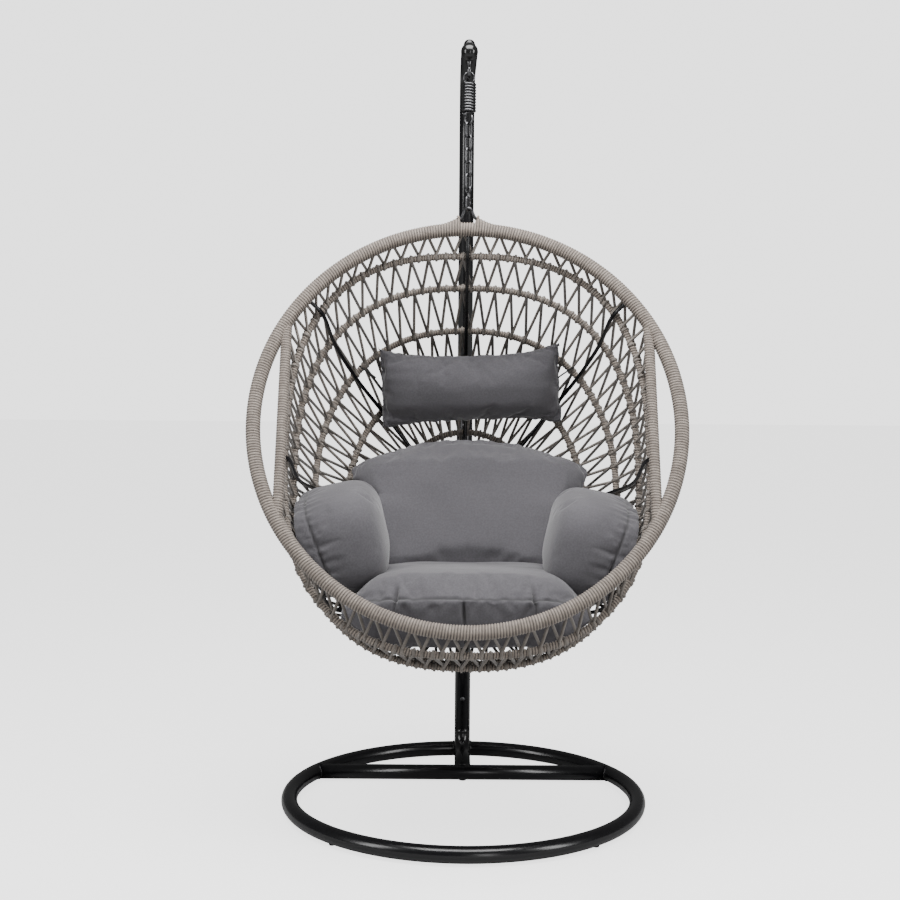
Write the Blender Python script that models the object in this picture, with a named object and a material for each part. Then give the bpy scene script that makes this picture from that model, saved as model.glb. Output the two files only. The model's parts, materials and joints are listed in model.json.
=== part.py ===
"""Hanging egg chair: a rope-wrapped basket with cushions, hung on a spring and a chain from a tube stand.

The origin is on the floor, in the middle of the whole chair's outline seen from above. The chair
faces -Y, +X is to the right of someone looking at it, and +Z is up. All lengths are metres.
"""

import math

import bmesh
import bpy
from mathutils import Matrix, Vector

GAP = 0.0003
OVERRUN = 0.05  # how far a cutter runs past the wall it cuts

# Stand
GLIDE_HEIGHT = 0.003
GLIDE_RADIUS = 0.013
RING_Y = 0.0591
RING_RADIUS = 0.455
RING_TUBE = 0.022
CROSSBAR_Y = RING_Y + 0.215
CROSSBAR_TUBE = 0.021
LOWER_POST_TUBE = 0.0226
UPPER_POST_TUBE = 0.0208
TUBE_WALL = 0.0015
FOOT_BEND = 0.060
FOOT_SHOULDER = 0.010
POST_OVERLAP = 0.15
POST_JOINT_Z = 1.05
ARM_Z = 1.932
ARM_BEND = 0.150
ARM_TIP_REACH = 0.024
SPIGOT_REACH = 0.060
LOWER_BOLT_Z = 0.184
UPPER_BOLT_Z = 0.975
BOLT_RADIUS = 0.004
BOLT_HEAD = 0.0065
BOLT_HEAD_SHOULDER = 0.0052
BOLT_HEAD_EDGE = 0.0030
BOLT_HEAD_HEIGHT = 0.0042
BOLT_TAIL = 0.009
NUT_HALF_WIDTH = 0.0065
NUT_HEIGHT = 0.0065

# Hook, spring, chain and snap hook, all hung on one vertical line
HANG_Y = RING_Y - 0.095
HOOK_ROD = 0.006
HOOK_BOWL = 0.0125
HOOK_BOWL_Z = 1.889
HOOK_KNEE = (0.0022, 0.0145)  # back from the hanging line, and up from the bowl's centre
HOOK_NECK = 0.0185
SHANK_REACH = 0.007
WASHER_RADIUS = 0.0145
WASHER_THICKNESS = 0.0015
CAP_NUT_RADIUS = 0.012
CAP_NUT_HEIGHT = 0.0108
WIRE = 0.003
LOOP_RADIUS = 0.0125
COIL_RADIUS = 0.015
COIL_TURNS = 10
COIL_PITCH = 0.0072
TOP_LOOP_NECK = 0.001
LOWER_LOOP_NECK = 0.004
LINK_COUNT = 5
LINK_BEND = 0.009
LINK_REACH = 0.019
CHAIN_TURN = math.radians(45)
SWIVEL_RING = 0.0075
SWIVEL_WIRE = 0.0025
SWIVEL_SHANK = 0.0030
SWIVEL_NECK = 0.0065
RIVET_RADIUS = 0.0048
RIVET_HEIGHT = 0.003
BARREL_RADIUS = 0.0065
BARREL_HEIGHT = 0.006
SNAP_HALF_WIDTH = 0.012
SNAP_TURN = math.radians(66)
SNAP_HEIGHT = 0.0385
SNAP_SHOULDER = ((0.004, 0.0135), (0.0085, 0.0118), (0.012, 0.009))  # out, and up from SNAP_STRAIGHT_Z
SNAP_NOSE = 0.0035
GATE_WIRE = 0.0022
GATE_HEEL = 0.0022
GATE_PLAY = 0.0009
EYE_ROD = 0.004
EYE_CROWN = 0.010
EYE_LEG = ((0.062, 0.0), (0.030, 0.0012), (0.0165, 0.008), (0.0115, 0.018))  # out, and up from the rim

# Basket: the rim's plane leans back, and the bowl runs back from it along its axis
RIM_HALF_WIDTH = 0.5075
RIM_HALF_HEIGHT = 0.520
RIM_TUBE = 0.0175
RIM_Z = 1.0405
RIM_LEAN = math.radians(27.7)
BAR_X = 0.439
BAR_TUBE = 0.013
BOWL_HALF_WIDTH = 0.4365
BOWL_TOP = 0.475
BOWL_BOTTOM = 0.560
BOWL_DEPTH = 0.571
BOWL_ROUNDNESS = 2.77
FRONT_SQUARENESS = 2.68
BACK_SQUARENESS = 2.02
HOOP_DEPTHS = (0.055, 0.205, 0.363, 0.478, 0.550)
HOOP_TUBE = 0.009
RIB_ROD = 0.005
RIB_ANGLES = {
    "rib_top": 90,
    "rib_upper_right": 49,
    "rib_side_right": -6,
    "rib_lower_right": -49,
    "rib_bottom": -90,
    "rib_lower_left": 229,
    "rib_side_left": 186,
    "rib_upper_left": 131,
}
HUB_RADIUS = 0.035
HUB_HALF_THICKNESS = 0.004
PANEL_THICKNESS = 0.003
PANEL_ROOM = 0.0014

# Cushions: centre, size, then tilt about X and roll about Y in degrees
CUSHIONS = {
    "seat_cushion": ((0, -0.226, 0.603), (0.54, 0.40, 0.13), -6, 0),
    "back_cushion": ((0.010, 0.069, 0.790), (0.60, 0.12, 0.36), -28, 0),
    "arm_cushion_left": ((-0.300, -0.186, 0.766), (0.186, 0.28, 0.22), 8, -14),
    "arm_cushion_right": ((0.300, -0.186, 0.766), (0.186, 0.28, 0.22), 8, 14),
    "head_pillow": ((0.012, 0.177, 1.102), (0.46, 0.10, 0.21), 12, 0),
}
CUSHION_ROUNDNESS = 0.6
TIE_ROD = 0.002
TIE_LINE = ((0.250, 0.177, 1.125), (0.263, 0.176, 1.136), (0.274, 0.160, 1.148))

RING_STEPS = 56
HOOP_STEPS = 44
RIM_STEPS = 64
TUBE_SIDES = 10
THIN_SIDES = 6

RING_Z = GLIDE_HEIGHT + GAP + RING_TUBE
RIM_Y = HANG_Y - RIM_HALF_HEIGHT * math.sin(RIM_LEAN)
LOOP_TOP_Z = HOOK_BOWL_Z - HOOK_BOWL + HOOK_ROD + WIRE + GAP
COIL_TOP_Z = LOOP_TOP_Z - 2 * LOOP_RADIUS - TOP_LOOP_NECK
COIL_BOTTOM_Z = COIL_TOP_Z - COIL_TURNS * COIL_PITCH
LOWER_LOOP_Z = COIL_BOTTOM_Z - LOOP_RADIUS - LOWER_LOOP_NECK
LINK_PITCH = 2 * LINK_REACH - 2 * WIRE - GAP
FIRST_LINK_Z = LOWER_LOOP_Z - LOOP_RADIUS + 2 * WIRE + GAP - LINK_REACH
LAST_LINK_Z = FIRST_LINK_Z - (LINK_COUNT - 1) * LINK_PITCH
SWIVEL_Z = LAST_LINK_Z - LINK_REACH + WIRE + SWIVEL_WIRE + GAP - SWIVEL_RING
BARREL_Z = SWIVEL_Z - SWIVEL_RING - SWIVEL_NECK
SNAP_BOTTOM_Z = BARREL_Z - SNAP_HEIGHT
SNAP_STRAIGHT_Z = BARREL_Z - BARREL_HEIGHT / 2 - SNAP_SHOULDER[0][1]
EYE_TOP_Z = SNAP_BOTTOM_Z + WIRE + EYE_ROD + GAP

PAINT = ("black_powder_coat", (0.012, 0.012, 0.013), 0.32, 0.0)
STEEL = ("dark_zinc_steel", (0.10, 0.10, 0.11), 0.30, 1.0)
PLASTIC = ("black_plastic", (0.02, 0.02, 0.02), 0.40, 0.0)
ROPE = ("taupe_rope", (0.26, 0.23, 0.21), 0.65, 0.0)
CORD = ("taupe_cord", (0.16, 0.145, 0.13), 0.65, 0.0)
FABRIC = ("grey_fabric", (0.15, 0.145, 0.155), 0.90, 0.0)
TIE = ("black_tie_cord", (0.015, 0.015, 0.015), 0.80, 0.0)


def clear_scene():
    for obj in list(bpy.data.objects):
        bpy.data.objects.remove(obj, do_unlink=True)


def new_collection(name, hidden):
    made = bpy.data.collections.new(name)
    made.hide_render = hidden
    bpy.context.scene.collection.children.link(made)
    return made


def material(look):
    name, colour, roughness, metallic = look
    made = bpy.data.materials.get(name)
    if made is None:
        made = bpy.data.materials.new(name)
        made.use_nodes = True
        shader = made.node_tree.nodes["Principled BSDF"]
        shader.inputs["Base Color"].default_value = (*colour, 1.0)
        shader.inputs["Roughness"].default_value = roughness
        shader.inputs["Metallic"].default_value = metallic
    return made


def add_object(name, data, look):
    obj = bpy.data.objects.new(name, data)
    CHAIR.objects.link(obj)
    data.materials.append(material(look))
    return obj


def add_mesh(name, build, look):
    """A new object whose mesh the function given fills through bmesh."""
    data = bpy.data.meshes.new(name)
    shape = bmesh.new()
    build(shape)
    bmesh.ops.recalc_face_normals(shape, faces=shape.faces)
    shape.to_mesh(data)
    shape.free()
    return add_object(name, data, look)


def smooth_tube(name, points, radius, look, closed=False, sides=THIN_SIDES):
    """A round tube or rod along a line of points, with filled ends."""
    data = bpy.data.curves.new(name, "CURVE")
    data.dimensions = "3D"
    data.bevel_depth = radius
    data.bevel_resolution = (sides - 4) // 2
    data.use_fill_caps = not closed
    line = data.splines.new("POLY")
    line.points.add(len(points) - 1)
    for slot, place in zip(line.points, points):
        slot.co = (*place, 1.0)
    line.use_cyclic_u = closed
    return add_object(name, data, look)


def cylinder(name, radius, start, end, look, sides=16):
    """A round bar between two points, with the middle of a face rather than an edge on its mid planes."""
    start = Vector(start)
    end = Vector(end)
    along = end - start
    turn = along.to_track_quat("Z", "Y").to_matrix().to_4x4() @ Matrix.Rotation(math.pi / sides, 4, "Z")
    place = Matrix.Translation((start + end) / 2) @ turn

    def build(shape):
        bmesh.ops.create_cone(
            shape, cap_ends=True, segments=sides, radius1=radius, radius2=radius,
            depth=along.length, matrix=place,
        )

    return add_mesh(name, build, look)


def turned(name, profile, start, axis, look, sides=16):
    """A solid of revolution: the profile is a line of (radius, distance along the axis) pairs."""
    place = Matrix.Translation(start) @ Vector(axis).to_track_quat("Z", "Y").to_matrix().to_4x4()

    def build(shape):
        verts = [shape.verts.new((radius, 0, along)) for radius, along in profile]
        edges = [shape.edges.new(pair) for pair in zip(verts, verts[1:])]
        bmesh.ops.spin(
            shape, geom=verts + edges, axis=(0, 0, 1), cent=(0, 0, 0), angle=2 * math.pi, steps=sides,
        )
        bmesh.ops.remove_doubles(shape, verts=shape.verts, dist=1e-6)
        bmesh.ops.transform(shape, matrix=place, verts=shape.verts)

    return add_mesh(name, build, look)


def dome(radius, height, base=0.0, steps=5):
    """The outer part of a dome's profile, from its rim up to the axis."""
    points = []
    for step in range(steps + 1):
        angle = math.pi / 2 * step / steps
        across = 0.0 if step == steps else radius * math.cos(angle)
        points.append((across, base + height * math.sin(angle)))
    return points


def as_mesh(obj):
    """Turns a curve object into a closed mesh object of the same name, so that a Boolean can use it."""
    graph = bpy.context.evaluated_depsgraph_get()
    data = bpy.data.meshes.new_from_object(obj.evaluated_get(graph))
    shape = bmesh.new()
    shape.from_mesh(data)
    bmesh.ops.remove_doubles(shape, verts=shape.verts, dist=1e-5)
    bmesh.ops.recalc_face_normals(shape, faces=shape.faces)
    shape.to_mesh(data)
    shape.free()
    name = obj.name
    home = obj.users_collection[0]
    bpy.data.objects.remove(obj, do_unlink=True)
    made = bpy.data.objects.new(name, data)
    home.objects.link(made)
    return made


def make_cutter(obj):
    for home in list(obj.users_collection):
        home.objects.unlink(obj)
    CUTTERS.objects.link(obj)
    obj.hide_render = True
    obj.display_type = "WIRE"
    return obj


def boolean(obj, other, operation):
    step = obj.modifiers.new(other.name, "BOOLEAN")
    step.operation = operation
    step.solver = "EXACT"
    step.object = make_cutter(other)


def cut(obj, other):
    boolean(obj, other, "DIFFERENCE")


def arc(centre, radius, first, last, steps, to_world):
    """Points of an arc, in degrees, in the plane that to_world maps from two flat coordinates."""
    points = []
    for step in range(steps + 1):
        angle = math.radians(first + (last - first) * step / steps)
        flat = (centre[0] + radius * math.cos(angle), centre[1] + radius * math.sin(angle))
        points.append(to_world(*flat))
    return points


def side_plane(y, z):
    return Vector((0.0, y, z))


def front_plane(x, z):
    return Vector((x, HANG_Y, z))


def hang_plane(turn):
    """The vertical plane through the hanging line, turned about it from the front plane."""
    return lambda x, z: Vector((x * math.cos(turn), HANG_Y + x * math.sin(turn), z))


# --- Stand ---


def ring_points(steps, z):
    points = []
    for step in range(steps):
        angle = 2 * math.pi * step / steps
        across = RING_RADIUS * math.cos(angle)
        points.append(Vector((across, RING_Y + RING_RADIUS * math.sin(angle), z)))
    return points


def post_y():
    """Where the post stands: the bend of its foot rests against the inside of the base ring."""
    reach = FOOT_BEND + LOWER_POST_TUBE + RING_TUBE + 2 * GAP
    bend_y = RING_Y + RING_RADIUS - math.sqrt(reach**2 - FOOT_BEND**2)
    return bend_y + FOOT_BEND


def build_base():
    smooth_tube("base_ring", ring_points(RING_STEPS, RING_Z), RING_TUBE, PAINT, True, TUBE_SIDES)
    half = math.sqrt(RING_RADIUS**2 - (CROSSBAR_Y - RING_Y) ** 2)
    crossbar = cylinder(
        "base_crossbar", CROSSBAR_TUBE, (-half, CROSSBAR_Y, RING_Z), (half, CROSSBAR_Y, RING_Z), PAINT
    )
    ring_room = smooth_tube(
        "ring_room", ring_points(RING_STEPS, RING_Z), RING_TUBE + GAP, PAINT, True, 2 * TUBE_SIDES
    )
    cut(crossbar, as_mesh(ring_room))
    for number in range(4):
        angle = math.radians(45 + 90 * number)
        x = RING_RADIUS * math.cos(angle)
        y = RING_Y + RING_RADIUS * math.sin(angle)
        name = f"glide_{number + 1}"
        cylinder(name, GLIDE_RADIUS, (x, y, 0), (x, y, GLIDE_HEIGHT), PLASTIC, 12)


def build_foot():
    y = post_y()
    bend = arc((y - FOOT_BEND, RING_Z + FOOT_BEND), FOOT_BEND, -90, 0, 8, side_plane)
    top = RING_Z + FOOT_BEND + FOOT_SHOULDER
    line = [side_plane(CROSSBAR_Y, RING_Z), *bend, side_plane(y, top)]
    foot = as_mesh(smooth_tube("foot_elbow", line, LOWER_POST_TUBE, PAINT, False, 16))
    bar_room = cylinder(
        "crossbar_room", CROSSBAR_TUBE + GAP, (-OVERRUN, CROSSBAR_Y, RING_Z),
        (OVERRUN, CROSSBAR_Y, RING_Z), PAINT,
    )
    front_room = cylinder(
        "crossbar_front_room", 2 * RING_TUBE, (0, CROSSBAR_Y - OVERRUN, RING_Z),
        (0, CROSSBAR_Y, RING_Z), PAINT,
    )
    cut(foot, bar_room)
    cut(foot, front_room)
    return top


def build_lower_post(foot_top):
    y = post_y()
    post = cylinder(
        "lower_post", LOWER_POST_TUBE, (0, y, foot_top + GAP), (0, y, POST_JOINT_Z), PAINT, 20
    )
    bore = cylinder(
        "lower_bore", LOWER_POST_TUBE - TUBE_WALL, (0, y, foot_top - OVERRUN),
        (0, y, POST_JOINT_Z + OVERRUN), PAINT, 20,
    )
    cut(post, bore)
    spigot = cylinder(
        "foot_spigot", UPPER_POST_TUBE, (0, y, foot_top + GAP), (0, y, LOWER_BOLT_Z + SPIGOT_REACH),
        PAINT, 20,
    )
    return post, spigot


def build_upper_post():
    """The tube that plugs into the lower post, bends forward and carries the basket over the base."""
    y = post_y()
    start = POST_JOINT_Z - POST_OVERLAP
    bend = arc((y - ARM_BEND, ARM_Z - ARM_BEND), ARM_BEND, 0, 90, 8, side_plane)
    tip = HANG_Y - ARM_TIP_REACH
    line = [side_plane(y, start), *bend, side_plane(tip, ARM_Z)]
    post = as_mesh(smooth_tube("upper_post", line, UPPER_POST_TUBE, PAINT, False, 20))
    bore_line = [side_plane(y, start - OVERRUN), *bend, side_plane(tip - OVERRUN, ARM_Z)]
    bore = smooth_tube("upper_bore", bore_line, UPPER_POST_TUBE - TUBE_WALL, PAINT, False, 20)
    cut(post, as_mesh(bore))
    return post


def build_posts(foot_top):
    lower, spigot = build_lower_post(foot_top)
    upper = build_upper_post()
    for label, z, inside in (("lower", LOWER_BOLT_Z, spigot), ("upper", UPPER_BOLT_Z, upper)):
        y = post_y()
        hole = cylinder(
            f"{label}_bolt_hole", BOLT_RADIUS + GAP, (0, y - OVERRUN, z), (0, y + OVERRUN, z), PAINT, 12
        )
        cut(lower, hole)
        cut(inside, hole)
        build_bolt(label, y, z)
    return upper


def build_bolt(label, y, z):
    """A bolt through the post: a domed head at the front and a hexagon nut at the back."""
    face = LOWER_POST_TUBE + GAP
    profile = [
        (0, -face - BOLT_TAIL),
        (BOLT_RADIUS, -face - BOLT_TAIL),
        (BOLT_RADIUS, face),
        (BOLT_HEAD, face),
        (BOLT_HEAD_SHOULDER, face + BOLT_HEAD_EDGE),
        (0, face + BOLT_HEAD_HEIGHT),
    ]
    turned(f"{label}_bolt", profile, (0, y, z), (0, -1, 0), STEEL, 12)
    nut = cylinder(
        f"{label}_nut", NUT_HALF_WIDTH, (0, y + face, z), (0, y + face + NUT_HEIGHT, z), STEEL, 6
    )
    thread = cylinder(
        f"{label}_nut_thread", BOLT_RADIUS + GAP, (0, y, z), (0, y + face + OVERRUN, z), STEEL, 12
    )
    cut(nut, thread)


def build_arm_fittings(upper):
    """The arm's end cap, and the hook whose shank goes up through the arm to a washer and a cap nut."""
    tip = (0, HANG_Y - ARM_TIP_REACH - GAP, ARM_Z)
    cap = [(0, 0), *dome(UPPER_POST_TUBE, UPPER_POST_TUBE, 0.0, 6)]
    turned("arm_end_cap", cap, tip, (0, -1, 0), PLASTIC, 20)

    bore = HOOK_ROD + GAP
    arm_top = ARM_Z + UPPER_POST_TUBE
    shank_top = arm_top + SHANK_REACH
    room = cylinder("shank_room", bore, (0, HANG_Y, ARM_Z - OVERRUN), (0, HANG_Y, shank_top), STEEL)
    cut(upper, room)
    washer_top = GAP + WASHER_THICKNESS
    washer = [(bore, GAP), (WASHER_RADIUS, GAP), (WASHER_RADIUS, washer_top), (bore, washer_top)]
    washer.append(washer[0])
    turned("hook_washer", washer, (0, HANG_Y, arm_top), (0, 0, 1), STEEL, 20)
    nut_base = washer_top + GAP
    nut = [(0, SHANK_REACH + GAP), (bore, SHANK_REACH + GAP), (bore, nut_base)]
    nut += dome(CAP_NUT_RADIUS, CAP_NUT_HEIGHT, nut_base)
    turned("hook_cap_nut", nut, (0, HANG_Y, arm_top), (0, 0, 1), PLASTIC)

    bowl = arc((HANG_Y, HOOK_BOWL_Z), HOOK_BOWL, 50, -205, 16, side_plane)
    shank = [side_plane(HANG_Y, shank_top), side_plane(HANG_Y, HOOK_BOWL_Z + HOOK_NECK)]
    knee = side_plane(HANG_Y + HOOK_KNEE[0], HOOK_BOWL_Z + HOOK_KNEE[1])
    smooth_tube("arm_hook", [*shank, knee, *bowl], HOOK_ROD, STEEL, False, 10)


# --- Suspension ---


def build_spring():
    """A close-coiled extension spring with a round loop at each end, standing on the hanging line."""
    points = []
    top_centre = (0, LOOP_TOP_Z - LOOP_RADIUS)
    points += arc(top_centre, LOOP_RADIUS, -50, 235, 13, front_plane)
    per_turn = 8
    for step in range(COIL_TURNS * per_turn):
        angle = math.pi + 2 * math.pi * step / per_turn
        z = COIL_TOP_Z - COIL_PITCH * step / per_turn
        x = COIL_RADIUS * math.cos(angle)
        y = COIL_RADIUS * math.sin(angle)
        points.append(Vector((x, HANG_Y + y, z)))
    lower_plane = hang_plane(-CHAIN_TURN)
    points += arc((0, LOWER_LOOP_Z), LOOP_RADIUS, 125, 410, 13, lower_plane)
    return smooth_tube("spring", points, WIRE, STEEL, False, THIN_SIDES)


def link_points(z, turn):
    plane = hang_plane(turn)
    straight = LINK_REACH - LINK_BEND
    top = arc((0, z + straight), LINK_BEND, 0, 180, 7, plane)
    bottom = arc((0, z - straight), LINK_BEND, 180, 360, 7, plane)
    return top + bottom


def build_chain():
    links = []
    for number in range(LINK_COUNT):
        turn = CHAIN_TURN if number % 2 == 0 else -CHAIN_TURN
        points = link_points(FIRST_LINK_Z - number * LINK_PITCH, turn)
        links.append(smooth_tube(f"chain_link_{number + 1}", points, WIRE, STEEL, True))
    return links


def build_swivel():
    """The eye on the last link, whose riveted shank turns in the snap hook's barrel."""
    plane = hang_plane(-CHAIN_TURN)
    ring_line = arc((0, SWIVEL_Z), SWIVEL_RING, 0, 340, 17, plane)
    ring = as_mesh(smooth_tube("swivel_eye", ring_line, SWIVEL_WIRE, STEEL, True))
    barrel_bottom = BARREL_Z - BARREL_HEIGHT
    shank = cylinder(
        "swivel_shank", SWIVEL_SHANK, (0, HANG_Y, SWIVEL_Z - SWIVEL_RING),
        (0, HANG_Y, barrel_bottom - RIVET_HEIGHT / 2), STEEL, 12,
    )
    rivet = cylinder(
        "swivel_rivet", RIVET_RADIUS, (0, HANG_Y, barrel_bottom - GAP),
        (0, HANG_Y, barrel_bottom - GAP - RIVET_HEIGHT), STEEL, 12,
    )
    boolean(ring, shank, "UNION")
    boolean(ring, rivet, "UNION")
    return ring


def build_snap_hook():
    """The snap hook: a barrel over a wire loop whose right side is closed by a hinged gate."""
    plane = hang_plane(SNAP_TURN)
    barrel_bottom = BARREL_Z - BARREL_HEIGHT
    bend_z = SNAP_BOTTOM_Z + SNAP_HALF_WIDTH
    left = [plane(-out, SNAP_STRAIGHT_Z + up) for out, up in SNAP_SHOULDER]
    right = [plane(out, SNAP_STRAIGHT_Z + up) for out, up in SNAP_SHOULDER]
    bottom = arc((0, bend_z), SNAP_HALF_WIDTH, 180, 350, 10, plane)
    left_line = [*left, plane(-SNAP_HALF_WIDTH, SNAP_STRAIGHT_Z), *bottom]
    right_line = [*right, plane(SNAP_HALF_WIDTH, SNAP_STRAIGHT_Z + SNAP_NOSE)]
    hook = cylinder("snap_hook", BARREL_RADIUS, (0, HANG_Y, BARREL_Z), (0, HANG_Y, barrel_bottom), STEEL)
    boolean(hook, as_mesh(smooth_tube("snap_hook_wire", left_line, WIRE, STEEL, False, 8)), "UNION")
    boolean(hook, as_mesh(smooth_tube("snap_hook_nose", right_line, WIRE, STEEL, False, 8)), "UNION")
    bore = cylinder(
        "swivel_bore", SWIVEL_SHANK + GAP, (0, HANG_Y, BARREL_Z + OVERRUN),
        (0, HANG_Y, barrel_bottom - RIVET_HEIGHT), STEEL,
    )
    cut(hook, bore)
    rivet_room = cylinder(
        "rivet_room", RIVET_RADIUS + 2 * GAP, (0, HANG_Y, barrel_bottom),
        (0, HANG_Y, barrel_bottom - 2 * RIVET_HEIGHT), STEEL,
    )
    cut(hook, rivet_room)
    gate_heel = plane(SNAP_HALF_WIDTH, bend_z + GATE_HEEL)
    gate_tip = plane(SNAP_HALF_WIDTH, SNAP_STRAIGHT_Z + SNAP_NOSE - GATE_PLAY)
    gate = smooth_tube("snap_gate", [gate_heel, gate_tip], GATE_WIRE, STEEL, False, 8)
    return hook, gate, gate_heel


def build_hanging_eye():
    """The bent rod over the top of the rim, wrapped in with its rope."""
    base = RIM_Z + RIM_HALF_HEIGHT * math.cos(RIM_LEAN) + RIM_TUBE + EYE_ROD + GAP
    left = [front_plane(-out, base + up) for out, up in EYE_LEG]
    right = [front_plane(out, base + up) for out, up in reversed(EYE_LEG)]
    crown = arc((0, EYE_TOP_Z - EYE_CROWN), EYE_CROWN, 165, 15, 8, front_plane)
    return smooth_tube("hanging_eye", [*left, *crown, *right], EYE_ROD, STEEL, False, 8)


# --- Basket ---


def basket_place(across, up, deep):
    """World place of a point given across the rim, up its leaning face and back along the bowl's axis."""
    lean_y = math.sin(RIM_LEAN)
    lean_z = math.cos(RIM_LEAN)
    y = RIM_Y + up * lean_y + deep * lean_z
    return Vector((across, y, RIM_Z + up * lean_z - deep * lean_y))


def rim_point(angle):
    """Where a ray from the bowl's middle meets the rim, or the side bar where that comes first."""
    middle = (BOWL_TOP - BOWL_BOTTOM) / 2
    wide = math.cos(angle) / RIM_HALF_WIDTH
    high = math.sin(angle) / RIM_HALF_HEIGHT
    drop = middle / RIM_HALF_HEIGHT
    square = wide**2 + high**2
    reach = (-drop * high + math.sqrt((drop * high) ** 2 - square * (drop**2 - 1))) / square
    if abs(reach * math.cos(angle)) > BAR_X:
        reach = BAR_X / abs(math.cos(angle))
    return basket_place(reach * math.cos(angle), middle + reach * math.sin(angle), 0.0)


def bowl_shrink(depth):
    share = (depth / BOWL_DEPTH) ** BOWL_ROUNDNESS
    return (1 - share) ** (1 / BOWL_ROUNDNESS)


def bowl_point(angle, depth):
    """A point of the bowl's surface: its loops are squarish ovals that grow rounder towards the back."""
    shrink = bowl_shrink(depth)
    share = depth / BOWL_DEPTH
    squareness = FRONT_SQUARENESS * (1 - share) + BACK_SQUARENESS * share
    half_width = BOWL_HALF_WIDTH * shrink
    half_height = (BOWL_TOP + BOWL_BOTTOM) / 2 * shrink
    centre = (BOWL_TOP - BOWL_BOTTOM) / 2 * shrink
    across = abs(math.cos(angle) / half_width) ** squareness
    up = abs(math.sin(angle) / half_height) ** squareness
    reach = (across + up) ** (-1 / squareness)
    return basket_place(reach * math.cos(angle), centre + reach * math.sin(angle), depth)


def inward(start, end):
    """The direction towards the bowl's inside, square to a straight line along its surface."""
    along = (end - start).normalized()
    middle = basket_place(0, 0, BOWL_DEPTH / 3) - start
    return (middle - along * middle.dot(along)).normalized()


def loop(depth, steps):
    return [bowl_point(2 * math.pi * step / steps, depth) for step in range(steps)]


def oval_points(steps):
    points = []
    for step in range(steps):
        angle = 2 * math.pi * step / steps
        across = RIM_HALF_WIDTH * math.cos(angle)
        points.append(basket_place(across, RIM_HALF_HEIGHT * math.sin(angle), 0))
    return points


def build_rim():
    smooth_tube("front_rim", oval_points(RIM_STEPS), RIM_TUBE, ROPE, True, TUBE_SIDES)
    half = RIM_HALF_HEIGHT * math.sqrt(1 - (BAR_X / RIM_HALF_WIDTH) ** 2)
    for side, name in ((-1, "side_bar_left"), (1, "side_bar_right")):
        low = basket_place(side * BAR_X, -half, 0)
        high = basket_place(side * BAR_X, half, 0)
        bar = cylinder(name, BAR_TUBE, low, high, ROPE, 12)
        room = smooth_tube(
            name + "_rim_room", oval_points(RIM_STEPS), RIM_TUBE + GAP, ROPE, True, TUBE_SIDES
        )
        cut(bar, as_mesh(room))


def build_hoops():
    for number, depth in enumerate(HOOP_DEPTHS, 1):
        smooth_tube(f"hoop_{number}", loop(depth, HOOP_STEPS), HOOP_TUBE, ROPE, True, THIN_SIDES)


def rib_offset():
    """How far inside the hoops' centre lines the ribs run."""
    return HOOP_TUBE + RIB_ROD + 3 * GAP


def hub_centre():
    return basket_place(0, 0, BOWL_DEPTH - rib_offset())


def build_hub():
    centre = hub_centre()
    half = (basket_place(0, 0, 1) - basket_place(0, 0, 0)) * HUB_HALF_THICKNESS
    cylinder("hub_plate", HUB_RADIUS, centre - half, centre + half, PAINT, 24)


def build_ribs():
    """Steel rods on the inside of the hoops, from the rim to the hub."""
    offset = rib_offset()
    for name, degrees in RIB_ANGLES.items():
        angle = math.radians(degrees)
        line = [rim_point(angle)]
        line += [bowl_point(angle, depth) for depth in HOOP_DEPTHS]
        line.append(basket_place(0, 0, BOWL_DEPTH))
        points = []
        for before, here, after in zip(line, line[1:], line[2:]):
            first = inward(before, here)
            second = inward(here, after)
            normal = (first + second).normalized()
            points.append(here + normal * offset / normal.dot(second))
        along = (points[0] - line[0]).normalized()
        start = line[0] + along * (RIM_TUBE + 3 * GAP)
        edge = HUB_RADIUS + RIB_ROD
        spoke = basket_place(edge * math.cos(angle), edge * math.sin(angle), 0) - basket_place(0, 0, 0)
        smooth_tube(name, [start, *points, hub_centre() + spoke], RIB_ROD, PAINT, False, THIN_SIDES)


def panel_lines(number):
    """The two edges' loops of one cord panel, each kept clear of the hoop or tube it is laced to."""
    outer = []
    inner = []
    for step in range(HOOP_STEPS):
        angle = 2 * math.pi * step / HOOP_STEPS
        first = rim_point(angle) if number == 0 else bowl_point(angle, HOOP_DEPTHS[number - 1])
        first_room = (RIM_TUBE if number == 0 else HOOP_TUBE) + PANEL_ROOM
        if number < len(HOOP_DEPTHS):
            second = bowl_point(angle, HOOP_DEPTHS[number])
            second_room = HOOP_TUBE + PANEL_ROOM
        else:
            second = basket_place(0, 0, BOWL_DEPTH)
            second_room = HUB_RADIUS
        along = (second - first).normalized()
        if number == 0:
            first = first - inward(first, second) * RIB_ROD
        outer.append(first + along * first_room)
        inner.append(second - along * second_room)
    return outer, inner


def build_cord_panels():
    """Each band of zigzag cord between two hoops, as one thin closed strip of the same outline."""
    for number in range(len(HOOP_DEPTHS) + 1):
        outer, inner = panel_lines(number)

        def build(shape, outer=outer, inner=inner):
            rings = []
            for step in range(HOOP_STEPS):
                around = outer[(step + 1) % HOOP_STEPS] - outer[step - 1]
                normal = around.cross(inner[step] - outer[step]).normalized() * PANEL_THICKNESS / 2
                corners = (outer[step] + normal, inner[step] + normal,
                           inner[step] - normal, outer[step] - normal)
                rings.append([shape.verts.new(place) for place in corners])
            for step in range(HOOP_STEPS):
                here = rings[step]
                after = rings[(step + 1) % HOOP_STEPS]
                for corner in range(4):
                    turn = (corner + 1) % 4
                    shape.faces.new((here[corner], here[turn], after[turn], after[corner]))

        add_mesh(f"cord_panel_{number + 1}", build, CORD)


# --- Cushions ---


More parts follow.
